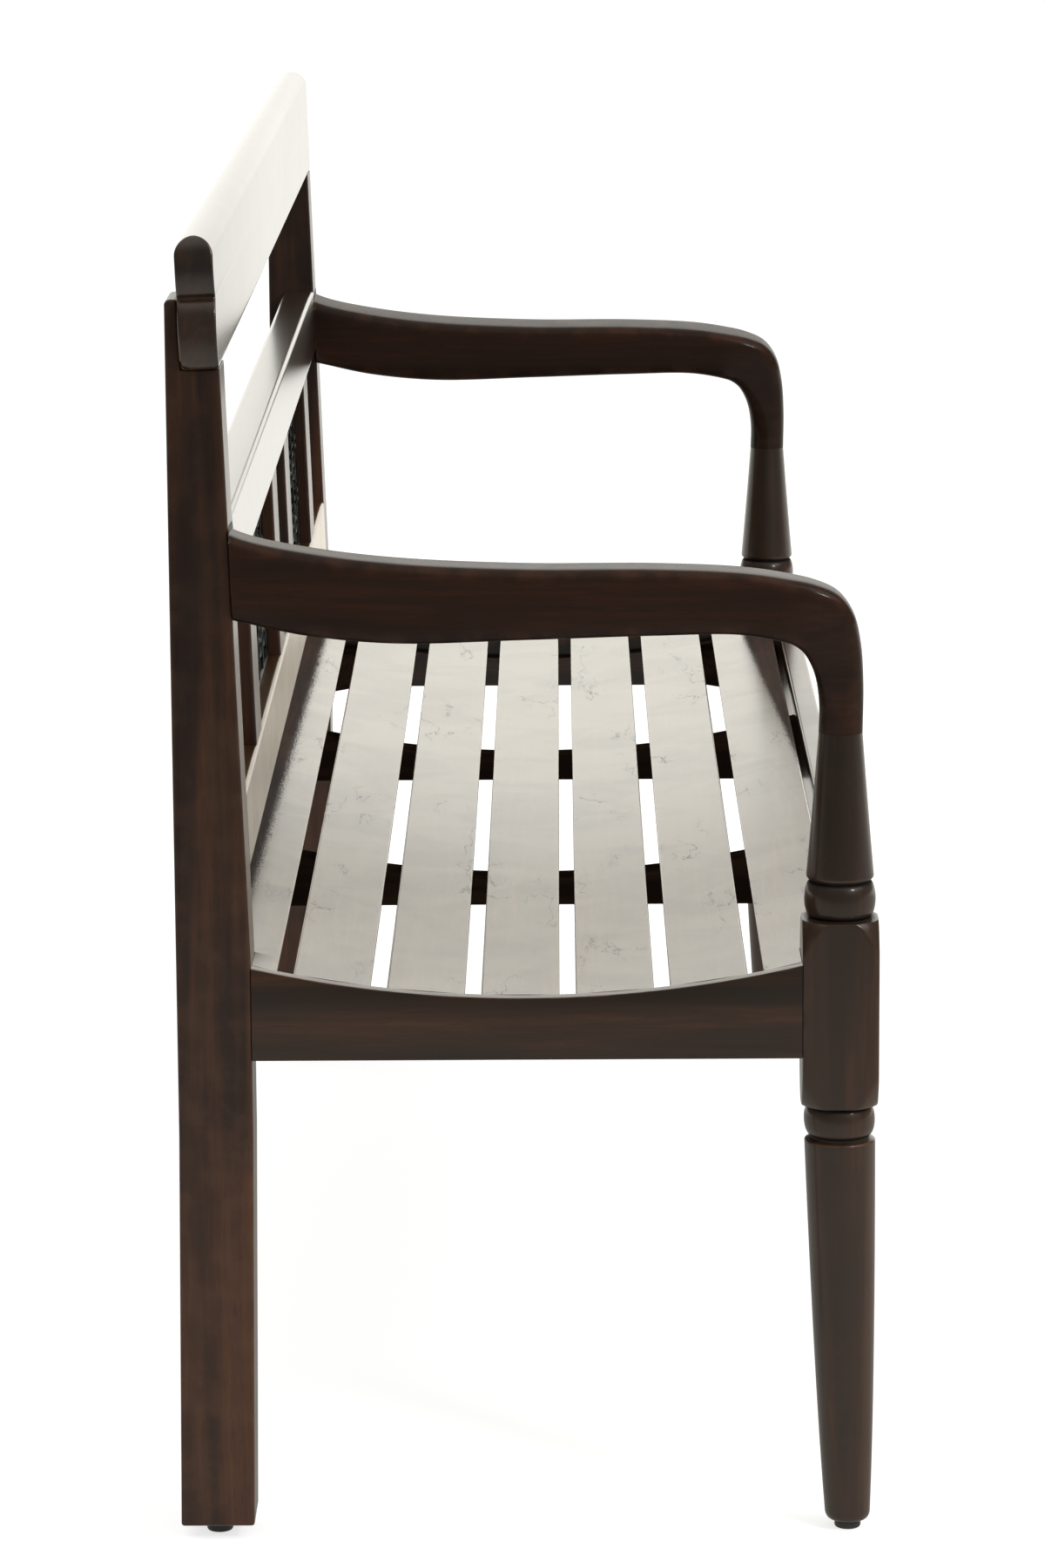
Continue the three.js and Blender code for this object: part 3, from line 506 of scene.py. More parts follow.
def effect_group(name: str, inputs: dict[str, str], outputs: dict[str, str]) -> tuple[Shader, dict, dict]:
    """Starts a shader node group with named sockets.

    Args:
        name: The group's name.
        inputs: Socket kinds by name.
        outputs: Socket kinds by name.

    Returns:
        A Shader for the group's tree, and by name the sockets that bring its inputs and take its outputs.
    """
    tree = bpy.data.node_groups.new(name, "ShaderNodeTree")
    for label, kind in inputs.items():
        tree.interface.new_socket(label, in_out="INPUT", socket_type=f"NodeSocket{kind}")
    for label, kind in outputs.items():
        tree.interface.new_socket(label, in_out="OUTPUT", socket_type=f"NodeSocket{kind}")
    entry, leave = tree.nodes.new("NodeGroupInput"), tree.nodes.new("NodeGroupOutput")
    given = {label: entry.outputs[label] for label in inputs}
    wanted = {label: leave.inputs[label] for label in outputs}
    return Shader(tree), given, wanted


@dataclass(frozen=True)
class TimberGrain:
    """Long-grained timber: broad figure, fine streaks and open pores, drawn out along the grain."""

    figure: Noise = Noise(0.4, 3.0, (0.36, 0.66), distortion=0.3)
    streaks: Noise = Noise(2.6, 5.0, (0.44, 0.7), distortion=0.3)
    pores: Noise = Noise(11.0, 3.0, (0.56, 0.72))

    def build(self) -> bpy.types.NodeTree:
        """Builds the group. Its height is that of the streaks, less the pores."""
        outputs = {"Figure": "Float", "Streaks": "Float", "Pores": "Float", "Height": "Float"}
        shader, given, wanted = effect_group("timber_grain", {"Vector": "Vector"}, outputs)
        streaks = shader.noise(given["Vector"], self.streaks)
        pores = shader.mask(given["Vector"], self.pores)
        shader.link(shader.mask(given["Vector"], self.figure), wanted["Figure"])
        shader.link(shader.span(streaks, *self.streaks.cut), wanted["Streaks"])
        shader.link(pores, wanted["Pores"])
        shader.link(shader.math("SUBTRACT", streaks, pores), wanted["Height"])
        return shader.tree


@dataclass(frozen=True)
class LacquerBloom:
    """Uneven lacquer: cloudy patches and fine specks that scatter the sheen."""

    cloud: Noise = Noise(11.0, 5.0, (0.35, 0.68), distortion=0.6)
    specks: Noise = Noise(620.0, 3.0, (0.45, 0.7))

    def build(self) -> bpy.types.NodeTree:
        """Builds the group."""
        outputs = {"Cloud": "Float", "Specks": "Float"}
        shader, given, wanted = effect_group("lacquer_bloom", {"Vector": "Vector"}, outputs)
        shader.link(shader.mask(given["Vector"], self.cloud), wanted["Cloud"])
        shader.link(shader.mask(given["Vector"], self.specks), wanted["Specks"])
        return shader.tree


@dataclass(frozen=True)
class RubbedEdgesAndLitTops:
    """Abraded arrises and the arms' painted lighter tops: the mask broken up by noise."""

    patches: Noise = Noise(45.0, 4.0, (0.4, 0.68))

    def build(self) -> bpy.types.NodeTree:
        """Builds the group."""
        inputs = {"Vector": "Vector", "Mask": "Float"}
        shader, given, wanted = effect_group("rubbed_edges_and_lit_tops", inputs, {"Worn": "Float"})
        patches = shader.mask(given["Vector"], self.patches)
        shader.link(shader.math("MULTIPLY", given["Mask"], patches), wanted["Worn"])
        return shader.tree


@dataclass(frozen=True)
class SeatShadeAndMarks:
    """Seat lacquer with painted shade: speckled bands along the outer edges of the dish, where the coat is
    taken away to paint a darker reflection, and thin curled marks that dull the lacquer.

    The bands fade in where y + a x at the back and a x - y in front pass from one value to another. The
    marks are the contour lines of one noise, kept only in patches of a second one.
    """

    rear_slope: float = 0.0105
    rear_edge: Pair = (0.1895, 0.2105)
    fore_slope: float = 0.038
    fore_edge: Pair = (0.2145, 0.228)
    drawn_out: Place = (0.3, 1.0, 1.0)
    grit: Noise = Noise(800.0, 3.0, (0.4, 0.6))
    grit_strength: float = 1.2
    speckle_cut: Pair = (0.2, 0.9)
    contours: Noise = Noise(36.0, 4.0, (0.004, 0.02))
    patches: Noise = Noise(17.0, 2.0, (0.5, 0.62))
    mark_strength: float = 0.5
    noise_middle: float = 0.5

    def build(self) -> bpy.types.NodeTree:
        """Builds the group."""
        shader, given, wanted = effect_group("seat_shade_and_marks", {"Vector": "Vector"}, {"Dull": "Float"})
        place = shader.add("SeparateXYZ", {0: given["Vector"]}).outputs
        rear = shader.math("ADD", place["Y"], shader.math("MULTIPLY", place["X"], self.rear_slope))
        fore = shader.math("SUBTRACT", shader.math("MULTIPLY", place["X"], self.fore_slope), place["Y"])
        # The bands are painted shade: the coat is taken away there to paint a darker reflection.
        bands = shader.span(rear, *self.rear_edge), shader.span(fore, *self.fore_edge)
        mapping = shader.add("Mapping", {"Vector": given["Vector"], "Scale": self.drawn_out})
        drawn_out = mapping.outputs["Vector"]
        grit = shader.noise(drawn_out, self.grit)
        uneven = shader.math("MULTIPLY", shader.math("SUBTRACT", grit, self.noise_middle), self.grit_strength)
        band = shader.math("ADD", shader.math("MAXIMUM", *bands), uneven)
        speckled = shader.span(band, *self.speckle_cut)
        swell = shader.math("SUBTRACT", shader.noise(drawn_out, self.contours), self.noise_middle)
        curls = shader.span(shader.math("ABSOLUTE", swell), *self.contours.cut, (1.0, 0.0))
        patch = shader.noise(drawn_out, self.patches)
        patches = shader.span(patch, *self.patches.cut, (0.0, self.mark_strength))
        marks = shader.math("MULTIPLY", curls, patches)
        marks = shader.math("MULTIPLY", marks, shader.span(grit, *self.grit.cut))
        shader.link(shader.math("MAXIMUM", speckled, marks), wanted["Dull"])
        return shader.tree


class Effects:
    """The node groups that several finishes share, each built once."""

    kinds: dict[str, TimberGrain | LacquerBloom | RubbedEdgesAndLitTops | SeatShadeAndMarks] = {
        "timber_grain": TimberGrain(),
        "lacquer_bloom": LacquerBloom(),
        "rubbed_edges_and_lit_tops": RubbedEdgesAndLitTops(),
        "seat_shade_and_marks": SeatShadeAndMarks(),
    }
    made: dict[str, bpy.types.NodeTree] = {}

    @classmethod
    def place(cls, shader: Shader, name: str, **inputs: object) -> dict[str, bpy.types.NodeSocket]:
        """Adds the named effect to a material.

        Args:
            shader: The material's node tree.
            name: Which effect.
            inputs: Values or sockets for the group's inputs.

        Returns:
            The group's output sockets by name.
        """
        if name not in cls.made:
            cls.made[name] = cls.kinds[name].build()
        return shader.add("Group", inputs, node_tree=cls.made[name]).outputs


def new_material(name: str) -> tuple[bpy.types.Material, Shader, bpy.types.Node]:
    """Starts a material and returns it with its node hand and its Principled shader."""
    material = bpy.data.materials.new(name)
    material.use_nodes = True
    shader = Shader(material.node_tree)
    return material, shader, material.node_tree.nodes["Principled BSDF"]


@dataclass(frozen=True)
class LacqueredTimber:
    """Espresso-stained hardwood under lacquer, polished on the boards and duller on turned pieces.

    Painted shade darkens the grooves of a turning and keeps the lacquer's coat out of them. Between the two
    shading heights a painted gradient of light and shade goes from its strength at the foot to that at the
    head. Only the seat has the bands of painted shade, where the coat is taken away to paint a darker
    reflection.
    """

    name: str
    grain: Grain
    dark: Colour = (0.022, 0.0135, 0.01)
    brown: Colour = (0.055, 0.027, 0.016)
    red_streak: Colour = (0.1, 0.04, 0.02)
    # The colour of abraded arrises, and of the painted light on the arms' tops.
    worn: Colour = (0.16, 0.075, 0.04)
    amber: Colour = (1.0, 0.93, 0.8)
    roughness: float = 0.3
    rough_spread: float = 0.06
    ior: float = 1.5
    coat: float = 1.0
    coat_roughness: float = 0.2
    coat_ior: float = 1.5
    bump: float = 0.06
    bump_distance: float = 0.0003
    along_scale: float = 5.0
    across_scale: float = 85.0
    streak_share: float = 0.45
    pore_share: float = 0.5
    wear_and_light_share: float = 0.4
    speck_height: float = 0.5
    # Painted light and shade: the colour is scaled from the foot's value to the head's between the two
    # heights, lighter low down where the floor's light falls.
    foot_painted_light: float = 1.0
    head_painted_shade: float = 1.0
    painted_shading_heights: Pair = (0.15, 0.8)
    # The seat's bands of painted shade and its dulled marks.
    painted_shade_bands: bool = False
    shaded_roughness: float = 0.8
    # The colour of the painted shade in the necks of a turning.
    groove_painted_shade: Colour = (0.004, 0.003, 0.002)

    def build(self) -> bpy.types.Material:
        """Builds the material: grain, abraded arrises, painted light and painted shade in its colour, grain
        and specks in its bump.
        """
        material, shader, surface = new_material(self.name)
        place = shader.add("TexCoord").outputs["Object"]
        stretched = shader.stretched(place, self.grain, self.along_scale, self.across_scale)
        timber = Effects.place(shader, "timber_grain", Vector=stretched)
        bloom = Effects.place(shader, "lacquer_bloom", Vector=place)
        # Painted shade in the necks of a turning: it darkens the colour, takes away the coat and roughens the
        # lacquer.
        painted_shade = shader.add("Attribute", attribute_name="groove_shade").outputs["Fac"]
        base = shader.mix(painted_shade, self.stained(shader, place, timber), self.groove_painted_shade)
        shader.link(base, surface.inputs["Base Color"])

        # On the seat the mask is the bands of painted shade and the dulled marks.
        if self.painted_shade_bands:
            painted_shade = Effects.place(shader, "seat_shade_and_marks", Vector=place)["Dull"]
        spread = shader.math("MULTIPLY", bloom["Cloud"], self.rough_spread)
        rough = shader.math("ADD", spread, shader.span(painted_shade, 0, 1, (self.roughness, self.shaded_roughness)))
        shader.link(rough, surface.inputs["Roughness"])
        shader.link(shader.span(painted_shade, 0, 1, (self.coat, 0.0)), surface.inputs["Coat Weight"])
        surface.inputs["IOR"].default_value = self.ior
        surface.inputs["Coat Roughness"].default_value = self.coat_roughness
        surface.inputs["Coat IOR"].default_value = self.coat_ior
        surface.inputs["Coat Tint"].default_value = (*self.amber, 1)
        specks = shader.math("MULTIPLY", bloom["Specks"], self.speck_height)
        height = shader.math("ADD", timber["Height"], specks)
        normal = shader.bump(height, self.bump, self.bump_distance)
        shader.link(normal, surface.inputs["Normal"], surface.inputs["Coat Normal"])
        return material

    def stained(self, shader: Shader, place: object, timber: dict) -> bpy.types.NodeSocket:
        """The timber's colour: figure, red streaks, dark pores, abraded arrises and the arms' painted lighter
        tops, then a painted gradient of light and shade up the height.

        Args:
            shader: The material's node tree.
            place: The socket with the object's coordinates.
            timber: The outputs of the grain effect.

        Returns:
            The colour.
        """
        # The mask holds abraded arrises and, on the arms, painted light on the top face.
        mask = shader.add("Attribute", attribute_name="wear_and_light").outputs["Fac"]
        worn = Effects.place(shader, "rubbed_edges_and_lit_tops", Vector=place, Mask=mask)["Worn"]
        base = shader.mix(timber["Figure"], self.dark, self.brown)
        reddened = shader.math("MULTIPLY", timber["Streaks"], timber["Figure"])
        base = shader.mix(shader.math("MULTIPLY", reddened, self.streak_share), base, self.red_streak)
        base = shader.mix(shader.math("MULTIPLY", timber["Pores"], self.pore_share), base, self.dark)
        base = shader.mix(shader.math("MULTIPLY", worn, self.wear_and_light_share), base, self.worn)
        if self.head_painted_shade == self.foot_painted_light:
            return base
        # Painted light and shade, lighter towards the foot and darker towards the head.
        height = shader.add("SeparateXYZ", {0: place}).outputs["Z"]
        painted_shading = shader.span(height, *self.painted_shading_heights, (self.foot_painted_light, self.head_painted_shade))
        return shader.mix(1.0, base, painted_shading, "MULTIPLY")


@dataclass(frozen=True)
class PlainTimber:
    """Timber without lacquer, for dowels and the blocks, battens and rail under the seat."""

    name: str
    grain: Grain
    light: Colour
    dark: Colour
    roughness: float = 0.62
    rough_spread: float = 0.15
    shine: float = 0.0
    streak_share: float = 0.6
    bump: float = 0.25
    bump_distance: float = 0.0004
    along_scale: float = 6.0
    across_scale: float = 80.0

    def build(self) -> bpy.types.Material:
        """Builds the material from the shared grain effect."""
        material, shader, surface = new_material(self.name)
        place = shader.add("TexCoord").outputs["Object"]
        stretched = shader.stretched(place, self.grain, self.along_scale, self.across_scale)
        timber = Effects.place(shader, "timber_grain", Vector=stretched)
        bloom = Effects.place(shader, "lacquer_bloom", Vector=place)
        base = shader.mix(timber["Figure"], self.dark, self.light)
        base = shader.mix(shader.math("MULTIPLY", timber["Streaks"], self.streak_share), base, self.dark)
        shader.link(base, surface.inputs["Base Color"])
        spread = shader.math("MULTIPLY", bloom["Cloud"], self.rough_spread)
        shader.link(shader.math("ADD", spread, self.roughness), surface.inputs["Roughness"])
        surface.inputs["Specular IOR Level"].default_value = self.shine
        shader.link(shader.bump(timber["Height"], self.bump, self.bump_distance), surface.inputs["Normal"])
        return material


@dataclass(frozen=True)
class BlackenedMetal:
    """Cast metal, blackened, with a dull grey-green sheen on the high places."""

    name: str
    black: Colour = (0.005, 0.006, 0.005)
    sheen: Colour = (0.035, 0.04, 0.034)
    cloud_share: float = 0.35
    wear_and_light_share: float = 0.8
    roughness: Pair = (0.34, 0.55)
    metallic: float = 0.75
    bump: float = 0.3
    bump_distance: float = 0.0005

    def build(self) -> bpy.types.Material:
        """Builds the material: clouded blackening, rubbed brighter on the edges."""
        material, shader, surface = new_material(self.name)
        place = shader.add("TexCoord").outputs["Object"]
        bloom = Effects.place(shader, "lacquer_bloom", Vector=place)
        mask = shader.add("Attribute", attribute_name="wear_and_light").outputs["Fac"]
        worn = Effects.place(shader, "rubbed_edges_and_lit_tops", Vector=place, Mask=mask)["Worn"]
        base = shader.mix(shader.math("MULTIPLY", bloom["Cloud"], self.cloud_share), self.black, self.sheen)
        base = shader.mix(shader.math("MULTIPLY", worn, self.wear_and_light_share), base, self.sheen)
        shader.link(base, surface.inputs["Base Color"])
        shader.link(shader.span(bloom["Cloud"], 0, 1, self.roughness), surface.inputs["Roughness"])
        surface.inputs["Metallic"].default_value = self.metallic
        shader.link(shader.bump(bloom["Specks"], self.bump, self.bump_distance), surface.inputs["Normal"])
        return material


@dataclass(frozen=True)
class SmallPart:
    """Zinc-plated steel or moulded nylon, for screws and foot glides."""

    name: str
    colour: Colour
    shade: Colour
    metallic: float
    roughness: Pair
    bump: float = 0.08
    bump_distance: float = 0.0003

    def build(self) -> bpy.types.Material:
        """Builds the material from the shared bloom effect."""
        material, shader, surface = new_material(self.name)
        place = shader.add("TexCoord").outputs["Object"]
        bloom = Effects.place(shader, "lacquer_bloom", Vector=place)
        shader.link(shader.mix(bloom["Cloud"], self.colour, self.shade), surface.inputs["Base Color"])
        shader.link(shader.span(bloom["Specks"], 0, 1, self.roughness), surface.inputs["Roughness"])
        surface.inputs["Metallic"].default_value = self.metallic
        shader.link(shader.bump(bloom["Specks"], self.bump, self.bump_distance), surface.inputs["Normal"])
        return material


FINISHES: dict[str, LacqueredTimber | PlainTimber | BlackenedMetal | SmallPart] = {
    "seat_slats": LacqueredTimber(
        "polished_timber_seat_slats",
        Grain.LENGTHWISE,
        amber=(1.0, 0.92, 0.76),
        ior=1.32,
        painted_shade_bands=True,
    ),
    "back_rails": LacqueredTimber(
        "polished_timber_back_rails",
        Grain.LENGTHWISE,
        dark=(0.015, 0.009, 0.007),
        brown=(0.036, 0.018, 0.011),
        red_streak=(0.065, 0.027, 0.014),
        amber=(1.0, 0.97, 0.9),
        coat=0.86,
        rough_spread=0.01,
        bump=0.02,
    ),
    "low_rail": LacqueredTimber(
        "polished_timber_low_rail",
        Grain.LENGTHWISE,
        dark=(0.04, 0.02, 0.01),
        brown=(0.09, 0.045, 0.02),
        amber=(1.0, 0.85, 0.6),
        coat=0.8,
    ),
    "side_rails": LacqueredTimber("polished_timber_side_rails", Grain.FRONT_TO_BACK, ior=1.2, coat=0.82),
    "front_rail": LacqueredTimber("polished_timber_front_rail", Grain.LENGTHWISE, ior=1.2, coat=0.8),
    "back_posts_and_slats": LacqueredTimber(
        "satin_timber_upright",
        Grain.UPRIGHT,
        dark=(0.03, 0.0135, 0.0085),
        brown=(0.085, 0.034, 0.017),
        red_streak=(0.14, 0.05, 0.02),
        roughness=0.36,
        ior=1.38,
        coat=0.35,
        coat_roughness=0.22,
        head_painted_shade=0.55,
    ),
    "front_posts": LacqueredTimber(
        "satin_timber_turned",
        Grain.UPRIGHT,
        dark=(0.033, 0.0185, 0.012),
        brown=(0.056, 0.0285, 0.0165),
        roughness=0.4,
        ior=1.42,
        coat=0.55,
        coat_roughness=0.15,
        foot_painted_light=1.1,
        head_painted_shade=0.45,
    ),
    "arms": LacqueredTimber(
        "dark_timber_arms",
        Grain.FRONT_TO_BACK,
        dark=(0.019, 0.0105, 0.0078),
        brown=(0.029, 0.0145, 0.0098),
        red_streak=(0.05, 0.019, 0.01),
        # Abraded arrises and the painted light on the arms' top face take this colour.
        worn=(0.2, 0.08, 0.04),
        roughness=0.5,
        ior=1.12,
        coat=0.26,
        coat_roughness=0.15,
        bump=0.04,
    ),
    "blocks_and_battens": PlainTimber(
        "stained_timber", Grain.FRONT_TO_BACK, light=(0.05, 0.028, 0.018), dark=(0.018, 0.011, 0.008)
    ),
    "hidden_rail": PlainTimber(
        "stained_rail_timber", Grain.LENGTHWISE, light=(0.024, 0.015, 0.011), dark=(0.014, 0.009, 0.007)
    ),
    "dowels": PlainTimber("beech_dowel", Grain.UPRIGHT, light=(0.55, 0.4, 0.25), dark=(0.4, 0.27, 0.15)),
    "screws": SmallPart(
        "zinc_plate", (0.6, 0.61, 0.62), (0.45, 0.46, 0.47), metallic=1.0, roughness=(0.3, 0.5)
    ),
    "foot_pads": SmallPart(
        "dark_nylon", (0.035, 0.03, 0.027), (0.05, 0.045, 0.04), metallic=0.0, roughness=(0.45, 0.65)
    ),
    "panels": BlackenedMetal("blackened_cast_metal"),
}


# Pieces


@dataclass(frozen=True)
class BackSetting:
    """Where the raked back stands: the posts' front face, its tilt and the line that it tips about."""

    length: float = 1.5
    rear: float = 0.2475
    thickness: float = 0.053
    top_thickness: float = 0.0363
    pivot_height: float = 0.43
    post_height: float = 0.899

    @property
    def face(self) -> float:
        """The posts' front face at seat height."""
        return self.rear - self.thickness

    @property
    def rake(self) -> float:
        """The tilt of the front face in radians."""
        rise = self.post_height - self.pivot_height
        return float(np.arctan2(self.thickness - self.top_thickness, rise))


BACK = BackSetting()


def finish_piece(parts: MeshParts, name: str, material: bpy.types.Material, slot: str, *nodes: str) -> None:
    """Builds a piece, dresses it, and lets it stand for its CAD nodes on the bench's one body.

    Args:
        parts: The piece's surfaces.
        name: Its name.
        material: Its finish.
        slot: The record's material slot; not used.
        nodes: The CAD nodes that it stands for.
    """
    piece = parts.build(name)
    piece.data.materials.append(material)
    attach(piece, BODY)
    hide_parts(*nodes)
    LOG.info("%s: %d faces", name, len(piece.data.polygons))


@dataclass
class Seat:
    """The dished seat: slats laid as chords of one long arc, front rail and side rails."""

    low: float = 0.4008
    radius: float = 0.86
    slat_count: int = 7
    slat_width: float = 0.0558
    slat_thickness: float = 0.0183
    slat_pitch: float = 0.0672
    slat_shift: float = 0.0038
    slat_round: float = 0.0013
    rail_bottom: float = 0.3564
    rail_thickness: float = 0.022
    rail_lip: float = 0.0105
    rail_round: float = 0.0009
    lip_rise: float = 0.0005
    front_post_rear: float = -0.1963
    front_rail_round: float = 0.002
    end_round: float = 0.0002
    rail_stations: int = 64
    crown_steps: int = 7
    foot_steps: int = 4

    @property
    def bed_radius(self) -> float:
        """The radius of the slats' undersides."""
        return self.radius + self.slat_thickness

    def slat_angle(self, index: int) -> float:
        """The place of a slat along the dish, as an angle at the dish's axis."""
        return (self.slat_shift + ((self.slat_count - 1) / 2 - index) * self.slat_pitch) / self.radius

    def slat_outline(self) -> Array:
        """The slat's section under the dish's axis, its lower corners the fit gap clear of the bed's arc."""
        under = np.sqrt(self.bed_radius**2 - (self.slat_width / 2) ** 2) - FIT_GAP
        low = (-self.slat_width / 2, -under)
        high = (self.slat_width / 2, self.slat_thickness - under)
        return rectangle(low, high)

    def build_slat(self, index: int, material: bpy.types.Material) -> None:
        """Builds one slat. The outer two are cut back where they pass the posts.

        Args:
            index: 0 at the back to 6 at the front.
            material: The slat's finish.
        """
        node = f"seat_slat_{index + 1}"
        low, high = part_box(node)
        angle = self.slat_angle(index)
        outline = self.slat_outline()
        radii = np.full(len(outline), self.slat_round)
        grid = carried_outline(outline, radii, (low[0], high[0]), along_x, self.end_round)
        y, z = grid[..., 1].copy(), grid[..., 2].copy()
        grid[..., 1] = y * np.cos(angle) - z * np.sin(angle)
        grid[..., 2] = y * np.sin(angle) + z * np.cos(angle) + self.low + self.radius
        if index == 0:
            grid = self.notched(grid, angle, Face.BACK)
        if index == self.slat_count - 1:
            grid = self.notched(grid, angle, Face.FRONT)
        finish_piece(MeshParts.of(grid), f"slat_{index + 1}", material, "seat_slats", node)

    def notched(self, grid: Array, angle: float, face: Face) -> Array:
        """Cuts an outer slat back where it passes the posts.

        Past the post's inner face each section ends at the post's face across the slat: points beyond it
        slide along the slat's slope to y = limit, z - (y - limit) tan(angle).

        Args:
            grid: The slat's surface, shape (rings, around, 3).
            angle: The slat's place in the dish, which is also its slope.
            face: Whether the slat is at the back posts or at the front posts.

        Returns:
            The surface with a pair of rings at each post's inner face.
        """
        back_low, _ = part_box("back_post_right")
        front_low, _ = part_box("front_post_right")
        sign = face.value
        limit_x = (back_low[0] if face is Face.BACK else front_low[0]) - FIT_GAP
        limit_y = (BACK.face if face is Face.BACK else self.front_post_rear) - sign * FIT_GAP
        middle = len(grid) // 2
        shoulders = []
        for place in (-limit_x, -limit_x, limit_x, limit_x):
            ring = grid[middle].copy()
            ring[:, 0] = place
            shoulders.append(ring)
        cut = np.array([True] * (middle + 1) + [False] * 2 + [True] * (len(grid) - middle + 1))
        rings = np.concatenate([grid[:middle], np.stack(shoulders), grid[middle:]])
        beyond = np.maximum(sign * (rings[..., 1] - limit_y), 0) * sign * cut[:, None]
        rings[..., 1] -= beyond
        rings[..., 2] -= beyond * np.tan(angle)
        return rings

    def dish_height(self, y: Array, radius: float) -> Array:
        """Height of an arc of the dish at depth y: axis height minus sqrt(radius^2 - y^2)."""
        return self.low + self.radius - np.sqrt(radius**2 - y**2)

    def build_side_rail(self, side: Side, material: bpy.types.Material) -> None:
        """Builds a side rail: an L-shaped section whose lip and ledge follow the dish along Y.

        The section runs up the rail's outer face, over the lip, and down to the ledge under the slats' ends.

        Args:
            side: The end of the bench.
            material: The rail's finish.
        """
        node = f"side_rail_{side.word}"
        low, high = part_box(node)
        outer = max(abs(low[0]), abs(high[0]))
        inner, lip = outer - self.rail_thickness, outer - self.rail_lip - FIT_GAP + CLOSED_JOINT
        ends = (self.front_post_rear + CLOSED_JOINT, BACK.face - CLOSED_JOINT)
        depth = np.linspace(*ends, self.rail_stations)
        crown = self.rail_round
        top_arc = arc((outer - crown, -crown), crown, 0, np.pi / 2, self.crown_steps)
        foot = arc((outer - crown / 2, crown / 2), crown / 2, -np.pi / 2, 0, self.foot_steps)
        section_x = np.concatenate([[inner], foot[:, 0], top_arc[:, 0], [lip, lip, inner]])
        over_foot = np.concatenate([[0.0], foot[:, 1]])
        below_top = np.concatenate([top_arc[:, 1], [0.0]])
        tops = self.dish_height(depth, self.radius - self.lip_rise)[:, None]
        ledge = self.dish_height(depth, self.bed_radius)[:, None]
        foot_z = np.broadcast_to(self.rail_bottom + over_foot, (len(depth), len(over_foot)))
        z = np.concatenate([foot_z, tops + below_top, ledge, ledge], axis=1)
        x = np.broadcast_to(side.value * section_x, z.shape)
        y = np.broadcast_to(depth[:, None], z.shape)
        grid = np.stack([x, y, z], axis=-1)
        finish_piece(MeshParts.of(grid), f"end_rail_{side.word}", material, "seat_frame", node)

    def build_front_rail(self, material: bpy.types.Material) -> None:
        """Builds the front rail between the blocks of the front posts."""
        low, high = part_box("front_seat_rail")
        post_low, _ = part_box("front_post_right")
        reach = post_low[0] - CLOSED_JOINT
        outline = rectangle((low[1], low[2]), (high[1], high[2]))
        radii = np.full(len(outline), self.front_rail_round)
        grid = carried_outline(outline, radii, (-reach, reach), along_x, CLOSED_JOINT)
        finish_piece(MeshParts.of(grid), "seat_apron", material, "seat_frame", "front_seat_rail")

    def build(self, sides: bpy.types.Material, front: bpy.types.Material, slats: bpy.types.Material) -> None:
        """Builds the whole seat.

        Args:
            sides: Finish of the side rails.
            front: Finish of the front rail.
            slats: Finish of the slats.
        """
        for index in range(self.slat_count):
            self.build_slat(index, slats)
        for side in Side:
            self.build_side_rail(side, sides)
        self.build_front_rail(front)


